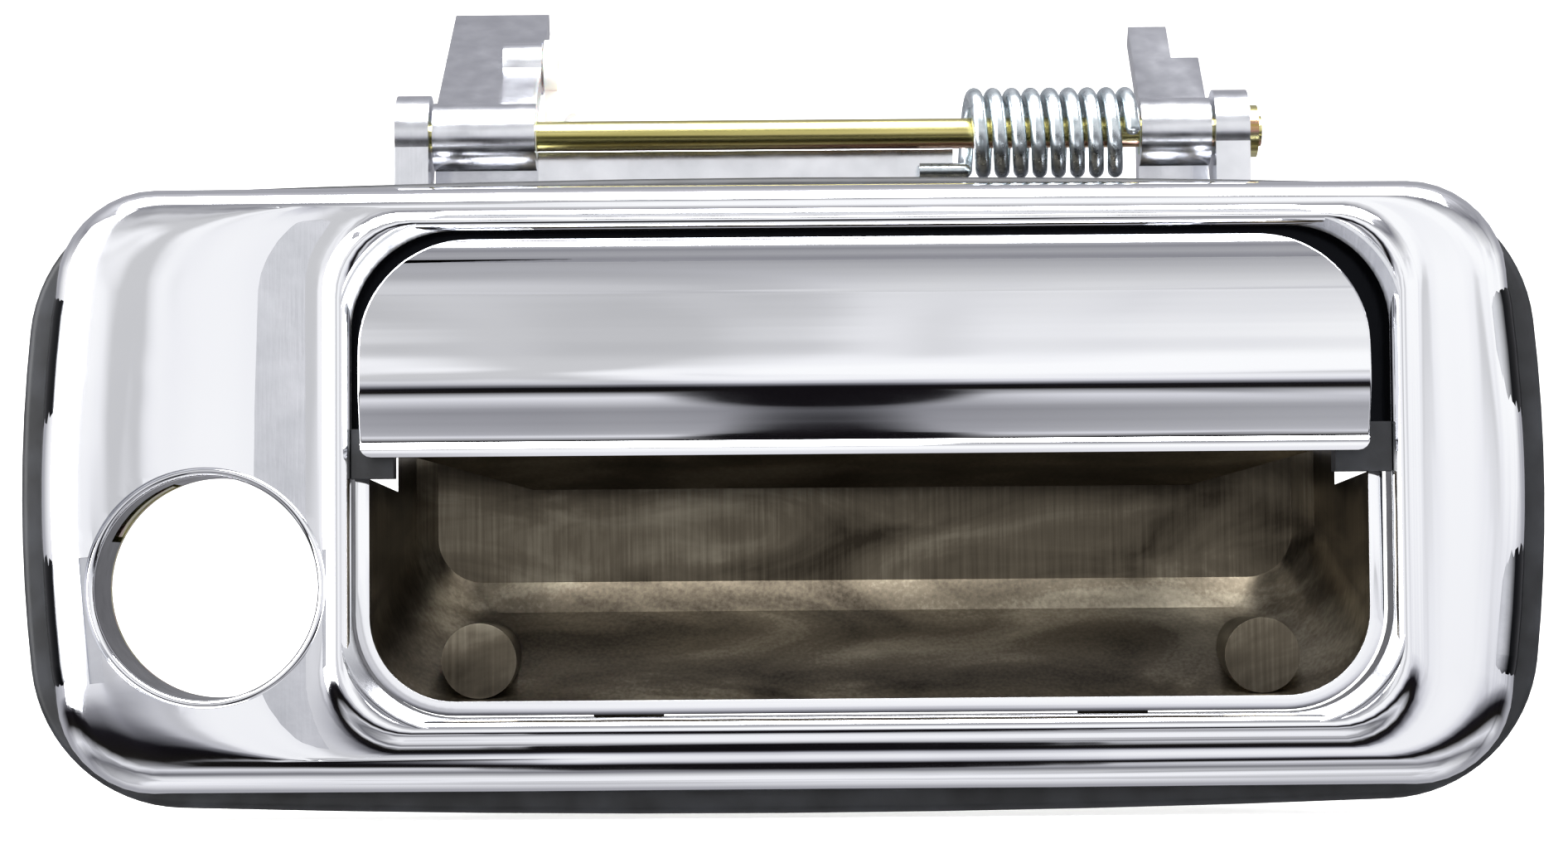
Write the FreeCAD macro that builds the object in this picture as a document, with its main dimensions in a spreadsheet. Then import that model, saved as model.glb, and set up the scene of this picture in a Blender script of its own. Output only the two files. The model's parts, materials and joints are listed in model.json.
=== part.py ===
import FreeCAD, Part
import math
import os

import Sketcher

Vector = FreeCAD.Vector

# Outside door handle with a pull paddle, in millimetres. X runs along the handle to the right, Z is up,
# and Y points into the door, so the outside face looks towards -Y. Positions are first laid out from
# the middle of the chrome frame, with Y = 0 at the outside of the door skin. Each piece is then moved so
# that the origin is midway between the two fixing studs, on the inner panel's face that they clamp to.
SIZES = {
    # chrome frame
    "bezel_width": (190.0, "overall width of the frame"),
    "bezel_height": (77.6, "overall height of the frame"),
    "bezel_depth": (5.2, "frame thickness in front of the gasket"),
    "bezel_wall": (2.0, "casting wall"),
    "bezel_corner": (17.0, "corner radius of the frame's outline"),
    "side_rise": (3.8, "how far the outline's two ends bow out"),
    "top_rise": (1.88, "how far the outline's long sides bow out"),
    "edge_roll": (4.0, "radius that rolls the front edge back"),
    "flange_thick": (1.5, "thickness of the flange behind the paddle's edges"),
    "flange_cover": (3.2, "how far that flange reaches in behind the paddle's sides"),
    "flange_corner": (7.0, "radius of the flange's inner corners, clear of the bracket's arms"),
    "flange_top_cover": (1.2, "how far it reaches down behind the paddle's top"),
    # window for the paddle and the finger cup
    "frame_left": (40.1, "frame's left end to the window"),
    "frame_right": (17.6, "window to the frame's right end"),
    "frame_bottom": (9.6, "frame's bottom to the window"),
    "frame_top": (6.0, "window to the frame's top"),
    "window_corner": (13.0, "corner radius of the window"),
    "lip_width": (2.5, "width of the raised lip round the window"),
    "lip_rise": (1.0, "height of that lip over the frame's face"),
    "lip_chamfer": (1.5, "slope from the lip down into the window"),
    "lip_roll": (0.8, "radius of the lip's outer edge"),
    # lock cylinder hole
    "lock_inset": (21.6, "frame's left end to the lock hole's centre"),
    "lock_rise": (26.4, "frame's bottom to the lock hole's centre"),
    "lock_radius": (14.2, "lock hole radius"),
    "lock_roll": (0.7, "radius of the lock hole's front edge"),
    "collar_wall": (2.0, "wall of the collar round the lock hole"),
    "collar_reach": (4.0, "how far the collar goes behind the door skin"),
    "lock_plate_thick": (1.2, "thickness of the lock's backing plate"),
    "lock_plate_rim": (2.9, "how far the backing plate stands past the lock hole"),
    "lug_spacing": (18.6, "lock hole centre to each backing plate screw"),
    "lug_width": (8.0, "width of the backing plate's lugs"),
    "tongue_inset": (0.1, "hole's wall to the face of the plate's tongue"),
    "tongue_thick": (1.5, "thickness of that tongue, towards the collar"),
    "tongue_reach": (3.0, "how far the tongue reaches forward of the plate"),
    # gasket
    "gasket_thick": (2.5, "gasket thickness"),
    "gasket_margin": (3.0, "how far the gasket shows past the sides and the bottom"),
    "gasket_top_margin": (1.2, "how far the gasket shows past the top"),
    "gasket_roll": (1.0, "radius of the gasket's front edges"),
    "gasket_seat": (3.2, "gasket strip behind the frame"),
    "gasket_top_seat": (1.7, "gasket strip behind the frame's top"),
    # hinge
    "axis_depth": (10.0, "hinge axis behind the door skin"),
    "axis_rise": (14.2, "hinge axis above the window"),
    "rod_radius": (2.0, "hinge rod radius"),
    "ear_radius": (5.5, "radius of the frame's hinge ears"),
    "ear_clearance": (1.2, "gasket's top strip to the feet of the ears"),
    "ear_heel": (6.5, "depth of an ear at the bottom of its foot"),
    "ear_toe": (4.5, "depth of an ear at the top of its foot, clear of the door skin"),
    "ear_left_inset": (4.3, "window's left side to the left ear"),
    "ear_left_width": (4.4, "left ear along X"),
    "ear_right_inset": (20.3, "right ear's inner side to the window's right side"),
    "ear_right_width": (4.5, "right ear along X"),
    "knuckle_radius": (4.5, "radius of the paddle's hinge knuckles"),
    "knuckle_gap": (0.4, "side play between an ear and its knuckle"),
    "knuckle_left_width": (13.5, "left knuckle along X"),
    "knuckle_right_width": (9.2, "right knuckle along X"),
    "bush_wall": (1.0, "wall of the nylon bushes"),
    "running_gap": (0.05, "radial running clearance on the rod"),
    "fit_gap": (0.02, "radial clearance of seated pieces"),
    "ring_radius": (3.45, "radius of the rod's retaining ring"),
    "ring_width": (1.4, "width of that ring"),
    "rod_tail": (0.6, "how far the rod stands past its ring"),
    # return spring
    "spring_radius": (5.0, "mean radius of the spring's coils"),
    "wire_radius": (1.0, "spring wire radius"),
    "spring_turns": (9.0, "number of coils seen from the front"),
    "spring_pitch": (2.5, "spacing of the coils"),
    "spring_gap": (0.3, "end coil to the right knuckle"),
    "spring_hook": (6.0, "length of the spring's left leg"),
    # paddle
    "paddle_left_gap": (1.4, "window's left side to the paddle"),
    "paddle_right_gap": (3.2, "paddle to the window's right side"),
    "paddle_top_gap": (1.2, "paddle to the window's top"),
    "paddle_cup_gap": (2.6, "top of the cup to the bottom of the paddle's lip"),
    "paddle_corner": (14.0, "radius of the paddle's top corners"),
    "paddle_lift": (0.2, "paddle's flat back in front of the frame's face"),
    "paddle_edge": (2.0, "thickness of the paddle at its top edge"),
    "paddle_belly": (4.4, "thickness of the paddle at its crease"),
    "crease_rise": (9.9, "paddle's bottom to its crease"),
    "face_bow": (120.0, "radius of the paddle's upper face"),
    "roll_bow": (7.0, "radius of the roll under the crease"),
    "paddle_foot_corner": (1.5, "radius of the paddle's bottom corners"),
    "paddle_knee": (4.2, "height of the slope behind the paddle's bottom lip"),
    "lip_slope": (0.4, "depth of the step where the roll meets the lip"),
    "lip_back_cut": (0.7, "how far the slope behind the lip leans forward"),
    "lip_height": (1.4, "height of the paddle's bottom lip"),
    "lip_out": (2.6, "how far that lip stands in front of the paddle's back"),
    # plate inside the paddle
    "plate_thick": (1.0, "thickness of the paddle's inner plate"),
    "ledge_depth": (7.0, "back edge of the ledge under the paddle"),
    "ledge_fall": (3.8, "paddle's bottom down to that back edge"),
    "ledge_flange": (5.9, "height of the flange behind the ledge"),
    "ledge_side_gap": (5.0, "paddle's side to the ledge's end"),
    "ledge_bevel": (17.0, "length of the bevel at each end of the ledge"),
    # bracket between the paddle and the rod
    "arm_thick": (4.0, "thickness of the bracket's arms"),
    "web_thick": (2.0, "thickness of the web between the arms"),
    "web_top_gap": (1.7, "hinge axis down to the top of the web's left part"),
    "web_drop": (6.7, "hinge axis down to the top of the web under the spring"),
    "foot_thick": (2.0, "thickness of the bracket's feet"),
    "foot_height": (11.5, "height of the bracket's feet"),
    "foot_inset": (7.1, "paddle's top to the top of the bracket's feet"),
    "rivet_radius": (1.2, "rivet shank radius"),
    "rivet_head": (2.0, "rivet head radius"),
    "rivet_head_thick": (1.0, "rivet head thickness"),
    "rivet_inset": (3.4, "rivet centre above the foot's bottom"),
    "rivet_spacing": (5.0, "rivet to rivet in one foot"),
    "rivet_bite": (1.3, "how far the rivets go into the paddle"),
    "lever_root_depth": (2.0, "hinge axis to the levers' roots, along Y"),
    "lever_root_rise": (2.5, "hinge axis to the levers' roots, along Z"),
    "lever_thick": (3.0, "thickness of the two levers"),
    "latch_lever_back": (32.0, "hinge axis to the latch lever's tip, along Y"),
    "latch_lever_rise": (20.0, "hinge axis to the latch lever's tip, along Z"),
    "stop_lever_back": (17.0, "hinge axis to the stop lever's tip, along Y"),
    "stop_lever_rise": (15.4, "hinge axis to the stop lever's tip, along Z"),
    "stop_lever_width": (5.2, "width of the stop lever's tip"),
    "shoulder_share": (0.6, "part of the stop lever's length that is wide"),
    "lever_inset": (0.3, "knuckle's side to the lever's side"),
    # nylon clip for the latch rod
    "clip_share": (0.52, "place of the clip along the latch lever"),
    "clip_radius": (3.9, "radius of the clip's flange"),
    "clip_thick": (1.8, "thickness of the clip's flange and arm"),
    "clip_play": (0.3, "lever's side to the clip's flange"),
    "clip_sleeve": (5.0, "length of the clip's sleeve"),
    "clip_sleeve_radius": (2.4, "radius of that sleeve"),
    "clip_boss_radius": (3.6, "radius of the lever's boss round the sleeve"),
    "clip_eye_radius": (1.6, "bore for the latch rod"),
    "clip_arm": (8.0, "sleeve to the jaw's middle"),
    "clip_arm_width": (4.2, "width of the clip's arm"),
    "clip_jaw": (2.4, "half the jaw's height, and how far it stands out"),
    # finger cup
    "cup_thick": (0.9, "sheet thickness of the cup"),
    "cup_side_gap": (0.3, "cup rim to the window"),
    "cup_rim": (1.8, "width of the cup's bright rim"),
    "cup_rim_thick": (1.2, "thickness of that rim"),
    "cup_sink": (1.7, "frame's face back to the front of the rim"),
    "cup_rise": (30.5, "window's bottom to the top end of the rim"),
    "cup_bend_depth": (14.0, "depth of the cup's lower bend"),
    "cup_bend_rise": (13.2, "window's bottom to that bend"),
    "cup_back_depth": (18.0, "depth of the cup's back wall"),
    "cup_back_rise": (17.2, "window's bottom to the start of the back wall"),
    "cup_back_corner": (6.0, "corner radius at the back wall"),
    "cup_back_drop": (2.2, "top end of the rim to the top of the back wall"),
    "cup_bend_side": (4.0, "how far each end leans in at the lower bend"),
    "cup_back_side": (6.5, "how far each end leans in at the back wall"),
    "cup_right_play": (0.7, "extra gap between the cup's rim and the window's right side"),
    "cup_tab_width": (9.0, "width of the cup's fixing tabs"),
    "cup_tab_root": (2.7, "how far the tabs overlap the cup's wall"),
    "cup_screw_inset": (19.0, "each stud to its cup screw, along X"),
    "cup_screw_drop": (3.4, "window's bottom down to the cup screws"),
    # fixing studs
    "stud_left_inset": (15.9, "window's left side to the left stud"),
    "stud_right_inset": (16.4, "right stud to the window's right side"),
    "stud_rise": (7.2, "window's bottom to the studs"),
    "stud_radius": (3.0, "M6 stud radius"),
    "seat_depth": (20.0, "door skin to the inner panel's face, where the studs are clamped"),
    "stud_reach": (28.0, "stud end behind the door skin"),
    "stud_neck_radius": (3.5, "radius of the stud's plain neck inside the cup's bump"),
    "stud_neck_end": (16.0, "end of that neck behind the door skin, where the thread starts"),
    "stud_flange_thick": (1.5, "thickness of the stud's flange"),
    "bump_radius": (4.8, "radius of the bump over each stud"),
    "bump_front": (-4.5, "front face of that bump"),
    "bump_depth": (16.5, "length of that bump, back to where it dies into the cup's slope"),
    # screws and rubber stops
    "screw_radius": (1.3, "radius of the small screws"),
    "screw_head": (2.2, "radius of their heads"),
    "screw_head_thick": (1.2, "height of their heads"),
    "screw_length": (4.0, "length of their shanks"),
    "screw_tip_play": (0.4, "screw tip to the bottom of its hole"),
    "screw_slot": (0.7, "width of the slot in a screw's head"),
    "boss_radius": (2.3, "radius of the screw bosses"),
    "stop_front_gap": (0.3, "paddle's back to the rubber stops"),
    "stop_inset": (4.0, "how far the stops reach in behind the paddle"),
    "stop_height": (6.3, "height of the rubber stops"),
}

doc = FreeCAD.newDocument("door_handle")
sheet = doc.addObject("Spreadsheet::Sheet", "sizes")
for row, (alias, (value, note)) in enumerate(SIZES.items(), start=1):
    sheet.set(f"A{row}", note)
    sheet.set(f"B{row}", str(value))
    sheet.setAlias(f"B{row}", alias)
doc.recompute()


class Size:
    """A length that knows both its present value and the sheet expression that drives it."""

    def __init__(self, value, text):
        self.value = value
        self.text = text

    def join(self, other, sign, value):
        return Size(value, f"({self.text} {sign} {size(other).text})")

    def __add__(self, other):
        return self.join(other, "+", self.value + size(other).value)

    def __sub__(self, other):
        return self.join(other, "-", self.value - size(other).value)

    def __mul__(self, other):
        return self.join(other, "*", self.value * size(other).value)

    def __truediv__(self, other):
        return self.join(other, "/", self.value / size(other).value)

    def __neg__(self):
        return self * -1.0

    def root(self):
        return Size(math.sqrt(self.value), f"sqrt({self.text})")


def size(number):
    """A plain number as a Size."""
    if isinstance(number, Size):
        return number
    return Size(float(number), f"({float(number):.9f})")


def cell(alias):
    """The Size held by one cell of the sheet."""
    return Size(float(sheet.get(alias)), f"sizes.{alias}")


S = {alias: cell(alias) for alias in SIZES}
# S also holds the places that follow from those sizes: first the window and the lock hole,
S["window_left"] = S["frame_left"] - S["bezel_width"] / 2.0
S["window_right"] = S["bezel_width"] / 2.0 - S["frame_right"]
S["window_bottom"] = S["frame_bottom"] - S["bezel_height"] / 2.0
S["window_top"] = S["bezel_height"] / 2.0 - S["frame_top"]
S["lock_across"] = S["lock_inset"] - S["bezel_width"] / 2.0
S["lock_up"] = S["lock_rise"] - S["bezel_height"] / 2.0
# then the cup and the studs in the window's lower part,
S["cup_front"] = S["cup_sink"] - S["gasket_thick"] - S["bezel_depth"]
S["cup_top"] = S["window_bottom"] + S["cup_rise"]
S["cup_bend_up"] = S["window_bottom"] + S["cup_bend_rise"]
S["cup_back_up"] = S["window_bottom"] + S["cup_back_rise"]
S["cup_back_top"] = S["cup_top"] - S["cup_back_drop"]
S["stud_left"] = S["window_left"] + S["stud_left_inset"]
S["stud_right"] = S["window_right"] - S["stud_right_inset"]
S["stud_up"] = S["window_bottom"] + S["stud_rise"]
S["cup_screw_left"] = S["stud_left"] + S["cup_screw_inset"]
S["cup_screw_right"] = S["stud_right"] - S["cup_screw_inset"]
S["cup_screw_up"] = S["window_bottom"] - S["cup_screw_drop"]
# then the paddle above the cup, with its plate and stops,
S["paddle_left"] = S["window_left"] + S["paddle_left_gap"]
S["paddle_right"] = S["window_right"] - S["paddle_right_gap"]
S["paddle_top"] = S["window_top"] - S["paddle_top_gap"]
S["paddle_bottom"] = S["cup_top"] + S["paddle_cup_gap"]
S["paddle_back"] = -(S["gasket_thick"] + S["bezel_depth"] + S["paddle_lift"])
S["crease_up"] = S["paddle_bottom"] + S["crease_rise"]
S["ledge_drop"] = S["paddle_bottom"] - S["ledge_fall"]
S["ledge_rise"] = S["ledge_drop"] + S["ledge_flange"]
S["stop_top"] = S["cup_top"] + S["stop_height"]
# and last the hinge above the window, with the levers and the bracket's feet.
S["axis_up"] = S["window_top"] + S["axis_rise"]
S["ear_left"] = S["window_left"] + S["ear_left_inset"]
S["ear_right"] = S["window_right"] - S["ear_right_inset"]
S["foot_top"] = S["paddle_top"] - S["foot_inset"]
S["foot_bottom"] = S["foot_top"] - S["foot_height"]
S["latch_lever_depth"] = S["axis_depth"] + S["latch_lever_back"]
S["latch_lever_up"] = S["axis_up"] + S["latch_lever_rise"]
S["stop_lever_depth"] = S["axis_depth"] + S["stop_lever_back"]
S["stop_lever_up"] = S["axis_up"] + S["stop_lever_rise"]
ORIGIN = (
    -(S["stud_left"] + S["stud_right"]) / 2.0,
    -S["seat_depth"],
    -S["stud_up"],
)
SUBPARTS = []
SMOOTH = 1e-4


def bind(thing, prop, length):
    """Drive one property of a document object from the sheet."""
    thing.setExpression(prop, size(length).text)


def finish(thing, label):
    """Name a finished sub-part and move it to the handle's origin."""
    thing.Label = label
    thing.Placement = FreeCAD.Placement(Vector(*[part.value for part in ORIGIN]), FreeCAD.Rotation())
    for letter, length in zip("xyz", ORIGIN):
        bind(thing, f"Placement.Base.{letter}", length)
    SUBPARTS.append(thing)
    return thing


def new_body(name):
    return doc.addObject("PartDesign::Body", name)


def sketch_on(body, role, offset=0.0):
    """A sketch on one of the body's origin planes, moved along that plane's normal."""
    drawing = body.newObject("Sketcher::SketchObject", body.Name + "_sketch")
    plane = next(feature for feature in body.Origin.OriginFeatures if feature.Role == role)
    drawing.AttachmentSupport = [(plane, "")]
    drawing.MapMode = "FlatFace"
    drawing.AttachmentOffset = FreeCAD.Placement(Vector(0, 0, size(offset).value), FreeCAD.Rotation())
    bind(drawing, "AttachmentOffset.Base.z", offset)
    return drawing


def hold(drawing, kind, geometry, point, length):
    """Hold one point's distance from the sketch's origin at a driven length."""
    length = size(length)
    axis = {"DistanceX": -2, "DistanceY": -1}[kind]
    if length.text.startswith("(0.0000") and length.value == 0.0:
        drawing.addConstraint(Sketcher.Constraint("PointOnObject", geometry, point, axis))
        return
    index = drawing.addConstraint(Sketcher.Constraint(kind, -1, 1, geometry, point, length.value))
    drawing.setExpression(f"Constraints[{index}]", length.text)


def hold_radius(drawing, geometry, radius):
    index = drawing.addConstraint(Sketcher.Constraint("Radius", geometry, size(radius).value))
    drawing.setExpression(f"Constraints[{index}]", size(radius).text)


def arc_between(start, end, radius):
    """The minor arc from start to end. A positive radius bulges to the left of the way from start to
    end. It gives the arc and whether it runs backwards, because a stored arc is anticlockwise."""
    middle = (start + end) * 0.5
    chord = end - start
    rise = math.sqrt(radius * radius - chord.Length * chord.Length / 4.0)
    left = Vector(-chord.y, chord.x, 0).normalize()
    side = -1.0 if radius > 0 else 1.0
    centre = middle + left * (rise * side)
    first, last = (end, start) if radius > 0 else (start, end)
    angles = [math.atan2(point.y - centre.y, point.x - centre.x) for point in (first, last)]
    circle = Part.Circle(centre, Vector(0, 0, 1), abs(radius))
    return Part.ArcOfCircle(circle, angles[0], angles[1]), radius > 0


def outline(drawing, points):
    """A closed outline. Each point is (x, y) or (x, y, radius), where the radius makes the stretch to
    the next point an arc. Every point is held by two driven distances."""
    corners = [Vector(size(p[0]).value, size(p[1]).value, 0) for p in points]
    ends = []
    for number, point in enumerate(points):
        start = corners[number]
        end = corners[(number + 1) % len(points)]
        if len(point) == 3:
            arc, backwards = arc_between(start, end, size(point[2]).value)
            index = drawing.addGeometry(arc, False)
            hold_radius(drawing, index, point[2] if size(point[2]).value > 0 else -size(point[2]))
        else:
            index = drawing.addGeometry(Part.LineSegment(start, end), False)
            backwards = False
        ends.append((index, 2, 1) if backwards else (index, 1, 2))
    for number, (index, first, _) in enumerate(ends):
        before, _, last = ends[number - 1]
        drawing.addConstraint(Sketcher.Constraint("Coincident", before, last, index, first))
        hold(drawing, "DistanceX", index, first, points[number][0])
        hold(drawing, "DistanceY", index, first, points[number][1])


def circle(drawing, across, up, radius):
    """A driven circle."""
    centre = Vector(size(across).value, size(up).value, 0)
    index = drawing.addGeometry(Part.Circle(centre, Vector(0, 0, 1), size(radius).value), False)
    hold(drawing, "DistanceX", index, 3, across)
    hold(drawing, "DistanceY", index, 3, up)
    hold_radius(drawing, index, radius)


def rounded_box(drawing, left, right, bottom, top, lower, upper):
    """A rectangle with lower and upper corner radii."""
    outline(drawing, [
        (left + lower, bottom), (right - lower, bottom, -lower),
        (right, bottom + lower), (right, top - upper, -upper),
        (right - upper, top), (left + upper, top, -upper),
        (left, top - upper), (left, bottom + lower, -lower),
    ])


def cup_section(drawing, left, right, bottom, top, corner):
    """A rectangle whose two bottom corners are round."""
    outline(drawing, [
        (left + corner, bottom), (right - corner, bottom, -corner),
        (right, bottom + corner), (right, top),
        (left, top), (left, bottom + corner, -corner),
    ])


def circles_meet(centre_a, radius_a, centre_b, radius_b, towards):
    """Where two circles meet, on the side that points towards a given point."""
    apart = centre_b - centre_a
    along = (radius_a ** 2 - radius_b ** 2 + apart.Length ** 2) / (2.0 * apart.Length)
    rise = math.sqrt(radius_a ** 2 - along ** 2)
    unit = Vector(apart).normalize()
    across = Vector(-unit.y, unit.x, 0)
    both = [centre_a + unit * along + across * (rise * side) for side in (1.0, -1.0)]
    return min(both, key=lambda point: point.distanceToPoint(towards))


def bow_radius(half_span, rise):
    """The radius of an arc that bows out by a rise over twice the half span."""
    return (half_span * half_span + rise * rise) / (rise * 2.0)


def bowed_outline(drawing, inset, top_inset):
    """The frame's outline drawn in by an inset: four bowed sides and four corners, all tangent."""
    half_width = S["bezel_width"] / 2.0 - inset
    bottom = S["bezel_height"] / 2.0 - inset
    top = S["bezel_height"] / 2.0 - top_inset
    side_bow = bow_radius(S["bezel_height"] / 2.0, S["side_rise"]) - inset
    top_bow = bow_radius(S["bezel_width"] / 2.0, S["top_rise"]) - inset
    corner = S["bezel_corner"] - inset
    sides = [
        (size(0.0), top_bow - bottom, top_bow),
        (half_width - side_bow, size(0.0), side_bow),
        (size(0.0), top - top_bow, top_bow),
        (side_bow - half_width, size(0.0), side_bow),
    ]
    centres = [Vector(across.value, up.value, 0) for across, up, _ in sides]
    radii = [radius.value for _, _, radius in sides]
    reach = corner.value
    tips = [
        Vector(half_width.value, -bottom.value, 0), Vector(half_width.value, top.value, 0),
        Vector(-half_width.value, top.value, 0), Vector(-half_width.value, -bottom.value, 0),
    ]
    hubs = [
        circles_meet(centres[k], radii[k] - reach, centres[(k + 1) % 4], radii[(k + 1) % 4] - reach, tips[k])
        for k in range(4)
    ]

    def touch(centre, hub):
        return hub + Vector(hub - centre).normalize() * reach

    def arc(centre, radius, start, end):
        angles = [math.atan2(point.y - centre.y, point.x - centre.x) for point in (start, end)]
        return drawing.addGeometry(
            Part.ArcOfCircle(Part.Circle(centre, Vector(0, 0, 1), radius), angles[0], angles[1]), False)

    rim = []
    for k in range(4):
        begin = touch(centres[k], hubs[k - 1])
        end = touch(centres[k], hubs[k])
        rim.append(arc(centres[k], radii[k], begin, end))
        rim.append(arc(hubs[k], reach, end, touch(centres[(k + 1) % 4], hubs[k])))
    for number, index in enumerate(rim):
        drawing.addConstraint(Sketcher.Constraint("Tangent", rim[number - 1], 2, index, 1))
    for k, (across, up, radius) in enumerate(sides):
        hold(drawing, "DistanceX", rim[2 * k], 3, across)
        hold(drawing, "DistanceY", rim[2 * k], 3, up)
        hold_radius(drawing, rim[2 * k], radius)
        hold_radius(drawing, rim[2 * k + 1], corner)


def pad(body, drawing, length, backwards=False):
    """Add the drawing's area, along its normal or against it."""
    feature = body.newObject("PartDesign::Pad", body.Name + "_pad")
    feature.Profile = drawing
    bind(feature, "Length", length)
    feature.Length = size(length).value
    feature.Reversed = backwards
    doc.recompute()
    if "Invalid" in feature.State or feature.Shape.isNull():
        raise RuntimeError(f"{feature.Name} failed")
    return feature


def pocket(body, drawing, length, backwards=False):
    """Cut the drawing's area, and make sure that something was cut."""
    before = body.Shape.Volume
    feature = body.newObject("PartDesign::Pocket", body.Name + "_pocket")
    feature.Profile = drawing
    bind(feature, "Length", length)
    feature.Length = size(length).value
    feature.Reversed = backwards
    doc.recompute()
    if not body.Shape.Volume < before - SMOOTH:
        raise RuntimeError(f"{feature.Name} cut nothing")
    return feature


def dress(body, kind, prop, length, chosen):
    """Round or bevel the edges of the body's tip for which chosen(edge) is true."""
    base = body.Tip
    names = [f"Edge{k}" for k, edge in enumerate(base.Shape.Edges, start=1) if chosen(edge)]
    feature = body.newObject(f"PartDesign::{kind}", f"{body.Name}_{kind}")
    feature.Base = (base, names)
    bind(feature, prop, length)
    setattr(feature, prop, size(length).value)
    doc.recompute()
    if "Invalid" in feature.State:
        raise RuntimeError(f"{feature.Name} failed on {len(names)} edges")
    return feature


def round_edges(body, radius, chosen):
    return dress(body, "Fillet", "Radius", radius, chosen)


def bevel_edges(body, width, chosen):
    return dress(body, "Chamfer", "Size", width, chosen)


def on_level(level):
    """True for edges that lie in the plane Y = level of the layout."""
    depth = size(level).value

    def chosen(edge):
        box = edge.BoundBox
        return abs(box.YMin - depth) < SMOOTH and abs(box.YMax - depth) < SMOOTH
    return chosen


def inside(left, right, bottom, top, test):
    """Narrow an edge test to edges whose box lies within four driven limits."""
    limits = [size(value).value for value in (left, right, bottom, top)]

    def chosen(edge):
        box = edge.BoundBox
        return (test(edge) and box.XMin > limits[0] - SMOOTH and box.XMax < limits[1] + SMOOTH
                and box.ZMin > limits[2] - SMOOTH and box.ZMax < limits[3] + SMOOTH)
    return chosen


def cylinder(name, radius, length, across, depth, up, along="Y"):
    """A driven cylinder that starts at a point and runs along +Y or +X."""
    piece = doc.addObject("Part::Cylinder", name)
    turn = {"Y": FreeCAD.Rotation(Vector(1, 0, 0), -90), "X": FreeCAD.Rotation(Vector(0, 1, 0), 90)}[along]
    start = [size(value) for value in (across, depth, up)]
    piece.Placement = FreeCAD.Placement(Vector(*[value.value for value in start]), turn)
    for letter, value in zip("xyz", start):
        bind(piece, f"Placement.Base.{letter}", value)
    bind(piece, "Radius", radius)
    bind(piece, "Height", length)
    return piece


def box(name, left, right, front, back, bottom, top):
    """A driven block between six planes."""
    piece = doc.addObject("Part::Box", name)
    for prop, value in zip(("Length", "Width", "Height"), (right - left, back - front, top - bottom)):
        bind(piece, prop, value)
    for letter, value in zip("xyz", (left, front, bottom)):
        bind(piece, f"Placement.Base.{letter}", value)
    return piece


def fuse(name, pieces):
    joined = doc.addObject("Part::MultiFuse", name)
    joined.Shapes = pieces
    return joined


def cut(name, base, tool):
    rest = doc.addObject("Part::Cut", name)
    rest.Base = base
    rest.Tool = tool
    return rest


# Pieces that rest on each other stay this close, and shapes that are joined overlap by SEAM.
SEAT = 0.02
SEAM = 0.3
# Cutting shapes run past what they cut by CLEAR, and a cut through a wall is THROUGH walls deep.
CLEAR = 1.0
THROUGH = 4.0
# The backing plate's tongue, in degrees round the lock hole from +X towards +Z.
TONGUE_START = 113.0
TONGUE_END = 152.0
TONGUE_PLAY = 3.0
# Where an ear's round eye meets its foot, in degrees round the rod from +Y towards +Z.
EAR_BACK_TURN = -30.0
EAR_FRONT_TURN = 200.0
# Levels along Y that several pieces share.
GASKET_FRONT = -S["gasket_thick"]
FACE = GASKET_FRONT - S["bezel_depth"]
CREST = FACE - S["lip_rise"]
SKIN_BACK = FACE + S["bezel_wall"]
# Places along X that the hinge shares.
KNUCKLE_LEFT = S["ear_left"] + S["ear_left_width"] + S["knuckle_gap"]
KNUCKLE_LEFT_END = KNUCKLE_LEFT + S["knuckle_left_width"]
KNUCKLE_RIGHT_END = S["ear_right"] - S["knuckle_gap"]
KNUCKLE_RIGHT = KNUCKLE_RIGHT_END - S["knuckle_right_width"]
BUSH_RADIUS = S["rod_radius"] + S["running_gap"] + S["bush_wall"]
ROD_BORE = S["rod_radius"] + S["fit_gap"]
SCREW_HOLE = S["screw_radius"] + S["fit_gap"]
RIVET_HOLE = S["rivet_radius"] + S["fit_gap"]
EAR_END = S["ear_right"] + S["ear_right_width"]
ARM_BACK = S["axis_depth"] + S["knuckle_radius"]
WEB_FRONT = ARM_BACK - S["web_thick"]
FLANGE_FRONT = GASKET_FRONT - S["flange_thick"]
SPRING_END = KNUCKLE_RIGHT - S["spring_gap"] - S["wire_radius"]
# The middle of both levers' roots, inside the knuckles, and the latch lever's clip side.
LEVER_ROOT = (S["axis_depth"] + S["lever_root_depth"], S["axis_up"] + S["lever_root_rise"])
LATCH_SIDE = KNUCKLE_LEFT_END - S["lever_inset"]


def ear_outline(drawing, radius):
    """The side view of a hinge ear: a foot behind the frame's top bar and an eye round the rod."""
    eye_back, eye_front = (
        (S["axis_depth"] + radius * math.cos(math.radians(turn)),
         S["axis_up"] + radius * math.sin(math.radians(turn)))
        for turn in (EAR_BACK_TURN, EAR_FRONT_TURN)
    )
    foot_top = S["bezel_height"] / 2.0 - S["gasket_top_seat"] - S["ear_clearance"]
    outline(drawing, [
        (SKIN_BACK, S["window_top"]),
        (S["ear_heel"], S["window_top"]),
        (eye_back[0], eye_back[1], -radius),
        (S["axis_depth"], S["axis_up"] + radius, -radius),
        (eye_front[0], eye_front[1]),
        (S["ear_toe"], foot_top),
        (SKIN_BACK, foot_top),
    ])


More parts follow.
